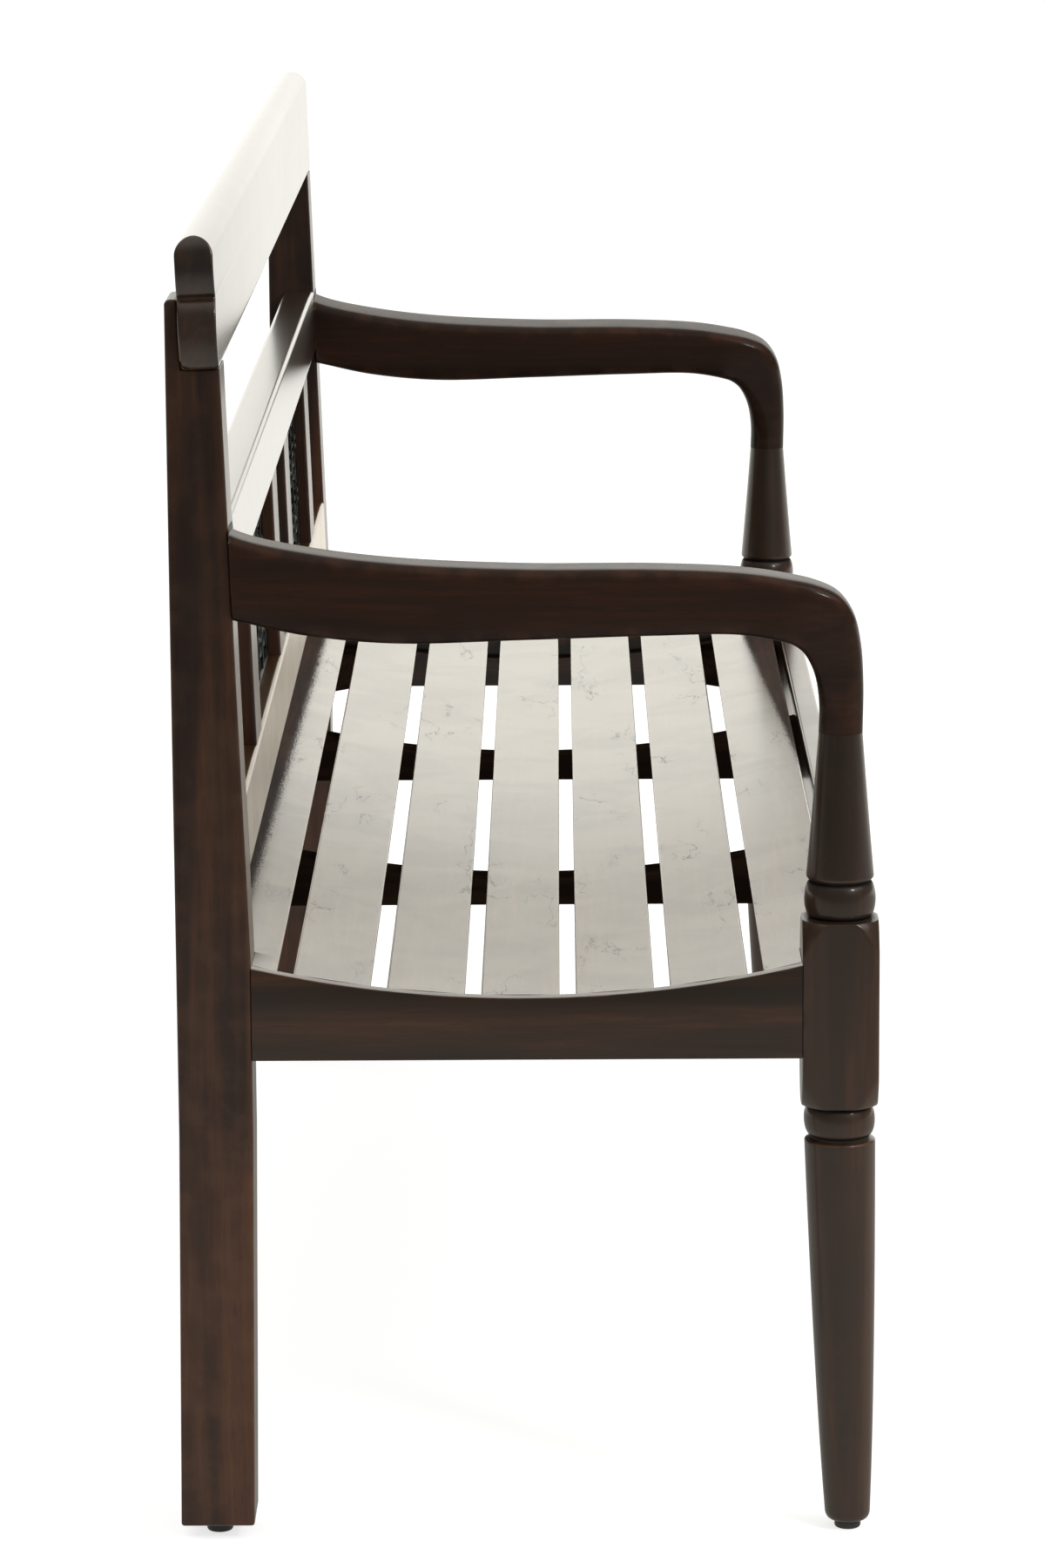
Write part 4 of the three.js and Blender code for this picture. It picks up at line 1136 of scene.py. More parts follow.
@dataclass
class FrontPost:
    """A post turned from toe to seam and left square where the seat rails meet it."""

    block: float = 0.0547
    block_bottom: float = 0.3183
    block_top: float = 0.4535
    shoulder: float = 0.027
    rim: float = 0.029
    toe: float = 0.0165
    toe_flat: float = 0.0105
    toe_height: float = 0.008
    leg_rim: float = 0.0255
    leg_splay: float = 0.0076
    rim_bevel: float = 0.0036
    shelf: float = 0.0016
    neck: float = 0.0212
    bead: float = 0.0255
    lower_bead: float = 0.0226
    upper_bead: float = 0.0256
    bead_inset: float = 0.0011
    cone_bevel: float = 0.0032
    cone: float = 0.0242
    top_radius: float = 0.0156
    rim_round: float = 0.0012
    around: int = 176
    corner_power: float = 34.0
    crease: float = 0.0004
    groove_reach: float = 0.0023
    groove_strength: float = 1.25
    groove_fade: float = 0.001
    leg_swell: Pair = (0.6, 0.33)
    shoulder_swell: Pair = (0.4, 0.18)
    cone_swell: Pair = (0.55, 0.5)
    toe_steps: int = 8
    leg_steps: int = 60
    eased_steps: int = 6
    bead_steps: int = 17
    shoulder_steps: int = 40
    block_steps: int = 10
    cone_steps: int = 40

    def half_ellipse(self, bottom: float, height: float) -> Array:
        """A bead: half an ellipse from the neck's radius out to the bead's."""
        angles = np.linspace(-np.pi / 2, np.pi / 2, self.bead_steps)
        radius = self.neck + (self.bead - self.neck) * np.cos(angles)
        return np.stack([radius, bottom + height / 2 + height / 2 * np.sin(angles)], axis=1)

    def eased(self, before: Sequence[float], corner: Sequence[float], after: Sequence[float]) -> Array:
        """A corner of the profile eased by a small quadratic curve."""
        corner_place = np.asarray(corner)
        ends = []
        for other in (before, after):
            way = np.asarray(other) - corner_place
            ends.append(corner_place + way / np.linalg.norm(way) * self.rim_round)
        return quadratic(ends[0], corner, ends[1], self.eased_steps)

    def profile(self, foot: float, top: float) -> Array:
        """The turning's radius and height from the toe to the seam.

        Args:
            foot: The height of the toe's underside.
            top: The height of the seam under the arm.

        Returns:
            Points (radius, height), shape (n, 2).
        """
        corner = self.block * np.sqrt(0.5) + FIT_GAP
        toe_top = foot + self.toe_height
        lower_neck = self.block_bottom - self.bead_inset
        leg_neck = lower_neck - self.lower_bead
        leg_rim_height = leg_neck - self.rim_bevel
        upper_neck = self.block_top + self.bead_inset
        cone_neck = upper_neck + self.upper_bead
        cone_bottom = cone_neck + self.cone_bevel
        leg_bend = (
            self.toe + (self.leg_rim - self.toe) * self.leg_swell[0],
            toe_top + (leg_rim_height - toe_top) * self.leg_swell[1],
        )
        shoulder_bend = (
            self.rim + (corner - self.rim) * self.shoulder_swell[0],
            self.block_bottom + self.shoulder * self.shoulder_swell[1],
        )
        cone_bend = (
            self.cone + (self.top_radius - self.cone) * self.cone_swell[0],
            cone_bottom + (top - cone_bottom) * self.cone_swell[1],
        )
        toe_rim = (self.toe, toe_top)
        leg_corner = (self.leg_rim, leg_rim_height)
        leg_shelf = (self.neck, leg_rim_height + self.shelf)
        block_low, block_high = self.block_bottom + self.shoulder, self.block_top - self.shoulder
        block_rim = (self.rim, self.block_bottom)
        low_shoulder = quadratic(block_rim, shoulder_bend, (corner, block_low), self.shoulder_steps)
        high_shoulder = low_shoulder[::-1] * [1, -1] + [0, self.block_bottom + self.block_top]
        cone_corner = (self.cone, cone_bottom)
        return np.concatenate([
            [(self.toe_flat, foot)],
            quadratic((self.toe_flat, foot), (self.toe, foot), toe_rim, self.toe_steps)[1:],
            quadratic(toe_rim, leg_bend, leg_corner, self.leg_steps)[1:-1],
            self.eased(leg_bend, leg_corner, leg_shelf),
            [leg_shelf],
            self.half_ellipse(leg_neck, self.lower_bead),
            low_shoulder,
            upright_line(corner, block_low, block_high, self.block_steps),
            high_shoulder,
            self.half_ellipse(upper_neck, self.upper_bead),
            self.eased((self.neck, cone_neck), cone_corner, cone_bend),
            quadratic(cone_corner, cone_bend, (self.top_radius, top), self.cone_steps)[2:],
        ])

    def groove_mask(self, profile: Array) -> Array:
        """How deep each profile point lies in the shade of a neck beside a bead.

        The shade is full at the neck, gone at a distance of the reach times the strength, and only lies where
        the profile draws in from the bead's radius.

        Args:
            profile: Points (radius, height), shape (n, 2).

        Returns:
            Values from 0 outside the grooves to 1 in their depth, shape (n,).
        """
        lower, upper = self.block_bottom - self.bead_inset, self.block_top + self.bead_inset
        necks = np.array([lower, lower - self.lower_bead, upper, upper + self.upper_bead])
        away = np.abs(profile[:, 1:] - necks).min(axis=1)
        inside = np.clip((self.bead + self.groove_fade / 4 - profile[:, 0]) / self.groove_fade, 0, 1)
        return np.clip(self.groove_strength - away / self.groove_reach, 0, 1) * inside

    def build(self, side: Side, material: bpy.types.Material) -> None:
        """Builds one post: the turning's radius met softly with the square bar's, all round.

        The bar's radius at angle a is half / (|cos a|^p + |sin a|^p)^(1/p), so its arrises are a little
        round. Under the block the leg leans forward in step with the depth.

        Args:
            side: The end of the bench.
            material: The post's finish.
        """
        name = side.word
        low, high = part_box(f"front_post_{name}")
        axis = ((low[0] + high[0]) / 2, (low[1] + high[1]) / 2)
        profile = self.profile(low[2], high[2] + FIT_GAP - CLOSED_JOINT)
        angles = np.linspace(0, 2 * np.pi, self.around, endpoint=False)
        power = self.corner_power
        norm = (np.abs(np.cos(angles)) ** power + np.abs(np.sin(angles)) ** power) ** (1 / power)
        bar = np.broadcast_to(self.block / 2 / norm, (len(profile), self.around))
        turned = np.broadcast_to(profile[:, :1], bar.shape)
        radius = soft_minimum(turned, bar, self.crease)
        share = np.maximum(self.block_bottom - profile[:, 1:], 0) / (self.block_bottom - low[2])
        grid = turned_grid(axis, radius, profile[:, 1:], angles)
        grid[..., 1] -= self.leg_splay * share
        # The groove mask is painted shade in the necks beside the beads.
        parts = MeshParts.of(grid, self.groove_mask(profile))
        finish_piece(parts, f"turned_post_{name}", material, "front_posts", f"front_post_{name}")


@dataclass
class BackPost:
    """A square post, kicked at the foot, raked in front, lapped at the top behind the crest rail.

    The arris shares give the round at each corner of its side outline.
    """

    foot_kick: float = 0.0035
    kick_height: float = 0.3
    arris: float = 0.0022
    arris_shares: tuple[float, ...] = (1, 1, 0, 1.8, 1, 0, 0.2, 0, 0)

    def build(self, side: Side, material: bpy.types.Material) -> None:
        """Builds one post from its side outline, carried across its width with rounded arrises.

        Args:
            side: The end of the bench.
            material: The post's finish.
        """
        name = side.word
        low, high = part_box(f"back_post_{name}")
        rear, face = BACK.rear, BACK.face
        behind_crest = BOARDS.crest_thickness + FIT_GAP
        under_crest = BOARDS.crest_bottom - CLOSED_JOINT
        lap = lean(np.array([
            [0, behind_crest, BACK.post_height],
            [0, behind_crest, under_crest],
            [0, 0, under_crest],
        ]))
        corners = np.array([
            [face + self.foot_kick, low[2]],
            [rear + self.foot_kick, low[2]],
            [rear, self.kick_height],
            [rear, high[2]],
            [lap[0, 1], high[2]],
            [lap[1, 1], lap[1, 2]],
            [lap[2, 1], lap[2, 2]],
            [face, BACK.pivot_height],
            [face, self.kick_height],
        ])
        radii = np.array(self.arris_shares) * self.arris
        grid = carried_outline(corners, radii, (low[0], high[0]), along_x, self.arris)
        finish_piece(MeshParts.of(grid), f"raked_post_{name}", material, "back_posts", f"back_post_{name}")


@dataclass
class Arm:
    """An arm lofted from its raised root to the round neck over the front post.

    Each row of shares holds the outer edge's place and height, the inner edge's, and the width. Places are
    measured from the post's axis, in the first rows as shares of the reach to the back and in the knuckle's
    as shares of its neck. Heights are shares of the rise from the seam to the top.
    """

    width: float = 0.062
    top: float = 0.705
    seam: float = 0.5873
    neck: float = 0.0312
    post_axis_y: float = -0.22365
    squareness: float = 7.0
    top_tilt: float = 0.0035
    # Painted light on the arm's top face, drawn lighter than the sides.
    top_painted_light: float = 0.6
    top_starts: float = 0.93
    around: int = 64
    stations: int = 170
    reach_shares: tuple[tuple[float, ...], ...] = (
        (1.03, 1.27, 1.03, 0.752, 1),
        (0.98, 1.19, 0.98, 0.71, 1),
        (0.88, 1.11, 0.88, 0.631, 1),
        (0.735, 1.043, 0.735, 0.58, 1),
        (0.52, 1.004, 0.52, 0.597, 1),
        (0.31, 1, 0.31, 0.619, 1),
        (0.167, 0.976, 0.167, 0.622, 1),
    )
    knuckle_shares: tuple[tuple[float, ...], ...] = (
        (1.3, 0.94, 1.3, 0.575, 0.99),
        (0.58, 0.9, 1.1, 0.553, 0.93),
        (0.06, 0.838, 0.88, 0.505, 0.85),
        (-0.27, 0.725, 0.69, 0.42, 0.75),
        (-0.44, 0.55, 0.56, 0.315, 0.65),
        (-0.51, 0.3, 0.49, 0.17, 0.56),
        (-0.5, 0, 0.5, 0, 0.503),
    )

    def edges(self) -> tuple[Array, Array]:
        """The outer and inner edge curves, with the width in the first column.

        Returns:
            Two arrays of shape (stations, 3).
        """
        face = BACK.face + (self.top - BACK.pivot_height) * np.tan(BACK.rake)
        reach, rise = face - self.post_axis_y, self.top - self.seam
        rows = np.array(self.reach_shares + self.knuckle_shares)
        unit = np.repeat([reach, self.neck], [len(self.reach_shares), len(self.knuckle_shares)])
        seam = self.seam + CLOSED_JOINT
        curves = []
        for place, height in ((0, 1), (2, 3)):
            y = self.post_axis_y + rows[:, place] * unit
            knots = np.stack([rows[:, 4] * self.width, y, seam + rows[:, height] * rise], axis=1)
            curves.append(centripetal_curve(knots, self.stations))
        return curves[0], curves[1]

    def build(self, side: Side, material: bpy.types.Material) -> None:
        """Builds one arm: superellipse sections between the two edges, squarer where the arm is wide.

        The section is (w |cos t|^(2/n), h |sin t|^(2/n)) with the signs of cos t and sin t. Its top rises
        towards the bench's end and is painted lighter than the sides, as more light falls on it. The root
        ends at the post's raked face.

        Args:
            side: The end of the bench.
            material: The arm's finish.
        """
        name = side.word
        post_low, post_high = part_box(f"front_post_{name}")
        axis_x = (post_low[0] + post_high[0]) / 2
        outer, inner = self.edges()
        width = outer[:, 0]
        square = np.clip((width - self.neck) / (self.width - self.neck), 0, 1)
        power = 2 / (2 + (self.squareness - 2) * square)[:, None]
        turn = np.linspace(0, 2 * np.pi, self.around, endpoint=False) + np.pi / self.around
        across = np.sign(np.cos(turn)) * np.abs(np.cos(turn)) ** power
        up = np.sign(np.sin(turn)) * np.abs(np.sin(turn)) ** power
        centre, half = (outer + inner) / 2, (outer - inner) / 2
        grid = np.stack([
            axis_x + across * width[:, None] / 2,
            centre[:, 1:2] + up * half[:, 1:2],
            centre[:, 2:3] + up * half[:, 2:3],
        ], axis=-1)
        outward = (1 + side.value * across) / 2
        grid[..., 2] += self.top_tilt * outward * np.maximum(up, 0) * square[:, None]
        grid[..., 1] = np.minimum(grid[..., 1], self.face_at(grid[..., 2]))
        # Painted light: the top face is drawn lighter, in the colour of abraded arrises.
        top_face = np.clip((up - self.top_starts) / (1 - self.top_starts), 0, 1)
        parts = MeshParts.of(grid, painted_light=self.top_painted_light * top_face * square[:, None])
        finish_piece(parts, f"bent_arm_{name}", material, "arms", f"arm_{name}")

    def face_at(self, z: Array) -> Array:
        """The depth of the post's raked front face at a height, less a closed joint."""
        return BACK.face + (z - BACK.pivot_height) * np.tan(BACK.rake) - CLOSED_JOINT


@dataclass
class BackBoards:
    """Crest rail, middle rail, lower rail and the four slats of the back, all on the raked plane."""

    crest_thickness: float = 0.027
    crest_bottom: float = 0.851
    crest_top: float = 0.9444
    crest_cusp: float = 0.90097
    lobe_reach: float = 0.014
    heel_round: float = 0.006
    rail_thickness: float = 0.028
    mid_bottom: float = 0.68602
    mid_top: float = 0.74202
    lower_bottom: float = 0.48499
    lower_top: float = 0.54099
    slat_thickness: float = 0.019
    slat_setback: float = 0.0015
    slat_arris: float = 0.002
    slat_count: int = 4
    arris: float = 0.003
    end_round: float = 0.0016
    cap_shares: tuple[float, ...] = (0.0, 0.25, 0.4, 0.5, 0.6)
    rim_steps: int = 7
    top_steps: int = 25
    flat_steps: int = 56
    arris_steps: int = 6

    def lobe(self, depth: Array, height: Array) -> Array:
        """How far the crest's end stands out past the post at a depth and height of the board.

        Each lobe is a Bezier curve that stands out by 3 reach t (1 - t) at height 3t^2 - 2t^3 between its
        ends, so t = 1/2 - sin(asin(1 - 2 height) / 3). The lower lobe's rear corner is rounded away.

        Args:
            depth: Distance behind the board's front face.
            height: Height up the raked plane.

        Returns:
            The distances in metres.
        """
        upper = np.clip((height - self.crest_cusp) / (self.crest_top - self.crest_cusp), 0, 1)
        lower = np.clip((height - self.crest_bottom) / (self.crest_cusp - self.crest_bottom), 0, 1)
        share = np.where(height > self.crest_cusp, upper, lower)
        t = 0.5 - np.sin(np.arcsin(1 - 2 * share) / 3)
        across = np.maximum(depth - self.crest_thickness + self.heel_round, 0)
        down = np.maximum(self.crest_bottom + self.heel_round - height, 0)
        room = np.clip((self.heel_round - np.hypot(across, down)) / (self.heel_round / 2), 0, 1)
        heel = np.where((across > 0) & (down > 0), np.sqrt(room * (2 - room)), 1.0)
        return 3 * self.lobe_reach * t * (1 - t) * heel

    def build_crest(self, material: bpy.types.Material) -> None:
        """Builds the crest rail: a round-topped section carried between its lobed ends.

        Each end is closed by the section shrunk towards its middle line: first flat, then over a rounded rim.
        """
        half = self.crest_thickness / 2
        arris = self.arris
        foot = self.crest_bottom + arris
        spring = self.crest_top - half
        top = arc((half, spring), half, 0, np.pi, self.top_steps)
        flat = np.linspace(foot, spring, self.flat_steps)[1:-1]
        rear = np.stack([np.full(len(flat), self.crest_thickness), flat], axis=1)
        front = np.stack([np.zeros(len(flat)), flat[::-1]], axis=1)
        low_rear = arc((self.crest_thickness - arris, foot), arris, -np.pi / 2, 0, self.arris_steps)
        low_front = arc((arris, foot), arris, np.pi, 1.5 * np.pi, self.arris_steps)
        outline = np.concatenate([low_rear, rear, top, front, low_front])
        flat_shares = [(share, 0.0) for share in self.cap_shares]
        round_shares = [
            (1 - self.end_round / half * (1 - np.sin(angle)), self.end_round * (1 - np.cos(angle)))
            for angle in np.linspace(0, np.pi / 2, self.rim_steps)
        ]
        rings = []
        for side in Side:
            cap = []
            for share, back in flat_shares + round_shares:
                depth = half + (outline[:, 0] - half) * share
                x = side.value * (BACK.length / 2 + self.lobe(depth, outline[:, 1]) - back)
                cap.append(np.stack([x, depth, outline[:, 1]], axis=1))
            rings += cap if side is Side.LEFT else cap[::-1]
        parts = MeshParts.of(lean(np.stack(rings)))
        finish_piece(parts, "lobed_crest", material, "back_rails", "crest_rail")

    def build_rail(self, node: str, bottom: float, top: float, material: bpy.types.Material) -> None:
        """Builds a rail of the back between the posts.

        Args:
            node: The CAD node that it stands for.
            bottom: Its lower edge, measured up the raked plane.
            top: Its upper edge.
            material: Its finish.
        """
        post_low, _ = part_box("back_post_right")
        reach = post_low[0] - CLOSED_JOINT
        outline = rectangle((0, bottom), (self.rail_thickness, top))
        radii = np.full(len(outline), self.arris)
        grid = carried_outline(outline, radii, (-reach, reach), along_x, CLOSED_JOINT)
        finish_piece(MeshParts.of(lean(grid)), f"{node}_finished", material, "back_rails", node)

    def build_slat(self, number: int, material: bpy.types.Material) -> None:
        """Builds one upright slat between the lower and the middle rail."""
        node = f"back_slat_{number}"
        low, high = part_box(node)
        outline = rectangle((low[0], self.slat_setback), (high[0], self.slat_setback + self.slat_thickness))
        reach = (self.lower_top + CLOSED_JOINT, self.mid_bottom - CLOSED_JOINT)
        radii = np.full(len(outline), self.slat_arris)
        grid = carried_outline(outline, radii, reach, along_z, CLOSED_JOINT)
        finish_piece(MeshParts.of(lean(grid)), f"upright_slat_{number}", material, "back_slats", node)

    def build(
        self,
        rails: bpy.types.Material,
        low_rail: bpy.types.Material,
        slats: bpy.types.Material,
    ) -> None:
        """Builds all boards of the back.

        Args:
            rails: Finish of the crest and the middle rail.
            low_rail: Finish of the lower rail.
            slats: Finish of the upright slats.
        """
        self.build_crest(rails)
        self.build_rail("mid_back_rail", self.mid_bottom, self.mid_top, rails)
        self.build_rail("lower_back_rail", self.lower_bottom, self.lower_top, low_rail)
        for number in range(1, self.slat_count + 1):
            self.build_slat(number, slats)


BOARDS = BackBoards()


@dataclass(frozen=True)
class Opening:
    """A panel's opening between its slats and rails, divided into equal cells."""

    left: float
    right: float
    bottom: float
    top: float
    columns: int
    rows: int

    @property
    def cell_width(self) -> float:
        """The width of one cell."""
        return (self.right - self.left) / self.columns

    @property
    def cell_height(self) -> float:
        """The height of one cell."""
        return (self.top - self.bottom) / self.rows

    def middle_x(self, column: int) -> float:
        """The middle of a column."""
        return self.left + (column + 0.5) * self.cell_width

    def middle_z(self, row: int) -> float:
        """The middle of a row."""
        return self.bottom + (row + 0.5) * self.cell_height


@dataclass
class PiercedPanel:
    """A cast panel: rows of pointed loops tied by links, stems and beads in a thin border."""

    columns: int = 6
    rows: int = 3
    setback: float = 0.011
    thickness: float = 0.006
    tongue: float = 0.003
    loop_height: float = 0.028
    loop_width: float = 0.019
    link_height: float = 0.015
    wall: float = 0.0036
    bead: float = 0.0045
    bead_lift: float = 0.85
    bead_depth: float = 0.9
    border: float = 0.004
    rod_depth: float = 0.9
    link_depth: float = 0.85
    rod_sides: int = 10
    almond_steps: int = 13
    bead_rings: int = 9
    bead_sides: int = 12
    bead_pole: float = 0.05
    rail_steps: int = 12
    bar_steps: int = 8
    tie_steps: int = 5
    stem_steps: int = 9

    def tube(self, path: Array, width: float, depth: float, closed: bool) -> Array:
        """An elliptical rod round a path in the panel's plane.

        Each ring is the path's point plus width cos a along the in-plane normal and depth sin a across.

        Args:
            path: Points (x, z), shape (n, 2).
            width: Half the rod's width in the plane.
            depth: Half its depth across the plane.
            closed: Whether the path is a loop.

        Returns:
            Surface points, shape (rings, sides, 3).
        """
        if closed:
            tangent = np.roll(path, -1, axis=0) - np.roll(path, 1, axis=0)
        else:
            tangent = np.gradient(path, axis=0)
        tangent /= np.linalg.norm(tangent, axis=1)[:, None]
        normal = np.stack([-tangent[:, 1], tangent[:, 0]], axis=1)
        turn = np.linspace(0, 2 * np.pi, self.rod_sides, endpoint=False)
        plane = path[:, None, :] + width * np.cos(turn)[None, :, None] * normal[:, None, :]
        across = np.broadcast_to(self.setback + self.thickness / 2 + depth * np.sin(turn), plane.shape[:2])
        rings = np.stack([plane[..., 0], across, plane[..., 1]], axis=-1)
        return np.concatenate([rings, rings[:1]]) if closed else rings

    def almond(self, x: float, z: float, half_width: float, half_height: float, upright: bool) -> Array:
        """A pointed loop from two quadratic arcs that meet at its tips."""
        long, wide = (half_height, half_width) if upright else (half_width, half_height)
        right = quadratic((0, -long), (2 * wide, 0), (0, long), self.almond_steps)[:-1]
        left = quadratic((0, long), (-2 * wide, 0), (0, -long), self.almond_steps)[:-1]
        loop = np.concatenate([right, left])
        if not upright:
            loop = loop[:, ::-1] * [1, -1]
        return loop + [x, z]

    def sphere(self, x: float, z: float) -> Array:
        """A bead, slightly flattened across: its radius times the sine and cosine of the latitude."""
        latitude = np.linspace(self.bead_pole, np.pi - self.bead_pole, self.bead_rings)[:, None]
        turn = np.linspace(0, 2 * np.pi, self.bead_sides, endpoint=False)[None]
        middle = self.setback + self.thickness / 2
        return np.stack([
            x + self.bead * np.sin(latitude) * np.cos(turn),
            middle + self.bead_depth * self.bead * np.sin(latitude) * np.sin(turn),
            z + self.bead * np.cos(latitude) * np.ones_like(turn),
        ], axis=-1)

    def frame_rods(self, opening: Opening, outer: Pair) -> list[Array]:
        """The border: a rod along the bottom and the top, and a flat bar up each side."""
        depth, half = self.thickness / 2, self.border / 2
        rods = []
        for z in (opening.bottom + half, opening.top - half):
            rods.append(self.tube(level_line(*outer, z, self.rail_steps), half, depth, False))
        bar = (self.tongue + self.border) / 2
        for x in (outer[0] + bar, outer[1] - bar):
            path = upright_line(x, opening.bottom, opening.top, self.bar_steps)
            rods.append(self.tube(path, bar, depth, False))
        return rods

    def row_rods(self, opening: Opening, row: int) -> list[Array]:
        """One row of loops, the links between them, and the ties from the outer loops to the border."""
        depth, rod = self.thickness / 2, self.wall / 2
        link = opening.cell_width / 2 - self.loop_width / 2 + rod
        z = opening.middle_z(row)
        rods = []
        for column in range(self.columns):
            x = opening.middle_x(column)
            loop = self.almond(x, z, self.loop_width / 2 - rod / 2, self.loop_height / 2 - rod / 2, True)
            rods.append(self.tube(loop, rod, depth, True))
            if column > 0:
                between = x - opening.cell_width / 2
                band = self.almond(between, z, link - rod / 2, self.link_height / 2 - rod / 2, False)
                rods.append(self.tube(band, rod * self.rod_depth, depth * self.link_depth, True))
        left, right = opening.left, opening.right
        half_loop = self.loop_width / 2
        for ends in (
            (left, left + opening.cell_width / 2 - half_loop),
            (right - opening.cell_width / 2 + half_loop, right),
        ):
            rods.append(self.tube(level_line(*ends, z, self.tie_steps), rod, depth * self.rod_depth, False))
        return rods

    def column_rods(self, opening: Opening, column: int) -> list[Array]:
        """One column of stems between the rows, with a pair of beads on each inner stem."""
        depth, rod = self.thickness / 2, self.wall / 2
        stem = opening.cell_height / 2 - self.loop_height / 2 + self.wall
        x = opening.middle_x(column)
        rods = []
        for row in range(self.rows + 1):
            z = opening.bottom + row * opening.cell_height
            low, high = max(z - stem, opening.bottom), min(z + stem, opening.top)
            path = upright_line(x, low, high, self.stem_steps)
            rods.append(self.tube(path, rod, depth * self.rod_depth, False))
            if 0 < row < self.rows:
                for lift in (-1, 1):
                    rods.append(self.sphere(x, z + lift * self.bead * self.bead_lift))
        return rods

    def build(self, side: Side, material: bpy.types.Material) -> None:
        """Builds one panel in its opening.

        Args:
            side: The end of the bench.
            material: The panel's finish.
        """
        name = side.word
        low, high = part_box(f"pierced_panel_{name}")
        opening = Opening(
            left=low[0] + self.tongue,
            right=high[0] - self.tongue,
            bottom=BOARDS.lower_top + FIT_GAP,
            top=BOARDS.mid_bottom - FIT_GAP,
            columns=self.columns,
            rows=self.rows,
        )
        rods = self.frame_rods(opening, (low[0], high[0]))
        for row in range(self.rows):
            rods += self.row_rods(opening, row)
        for column in range(self.columns):
            rods += self.column_rods(opening, column)
        parts = MeshParts()
        for rod in rods:
            parts.add_grid(lean(rod))
        finish_piece(parts, f"pierced_grille_{name}", material, "panels", f"pierced_panel_{name}")


@dataclass
class Glide:
    """A moulded foot pad under each leg, with a softly rounded rim."""

    rim_round: float = 0.002
    rim_steps: int = 7
    top_bevel: float = 0.0008
    nail_length: float = 0.018
    nail_radius: float = 0.002
    around: int = 48

    def build(self, face: Face, side: Side, material: bpy.types.Material) -> None:
        """Builds one pad and its nail as a turning on the CAD pad's axis.

        Args:
            face: Whether the pad is under a front leg or a back leg.
            side: The end of the bench.
            material: The pad's finish.
        """
        node = f"glide_{face.word}_{side.word}"
        low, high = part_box(node)
        centre = ((low[0] + high[0]) / 2, (low[1] + high[1]) / 2)
        radius = (high[0] - low[0]) / 2
        rim_centre = (radius - self.rim_round, self.rim_round)
        top = high[2] - self.nail_length
        profile = np.concatenate([
            arc(rim_centre, self.rim_round, -np.pi / 2, 0, self.rim_steps),
            [(radius, top - self.top_bevel), (radius - self.top_bevel, top)],
            [(self.nail_radius, top), (self.nail_radius, high[2])],
        ])
        angles = np.linspace(0, 2 * np.pi, self.around, endpoint=False)
        grid = turned_grid(centre, profile[:, :1], profile[:, 1:], angles)
        piece = f"foot_pad_{face.word}_{side.word}"
        finish_piece(MeshParts.of(grid), piece, material, "glides", node)


# Room and camera


@dataclass(frozen=True)
class Softbox:
    """A square lamp: where it hangs, the point that it faces, its side in metres and its power in watts."""

    name: str
    place: Place
    aim: Place
    size: float
    power: float

    def hang(self) -> None:
        """Adds the lamp to the scene."""
        data = bpy.data.lights.new(self.name, "AREA")
        data.size = self.size
        data.energy = self.power
        lamp = bpy.data.objects.new(self.name, data)
        lamp.location = self.place
        lamp.rotation_euler = (Vector(self.aim) - Vector(self.place)).to_track_quat("-Z", "Y").to_euler()
        bpy.context.collection.objects.link(lamp)


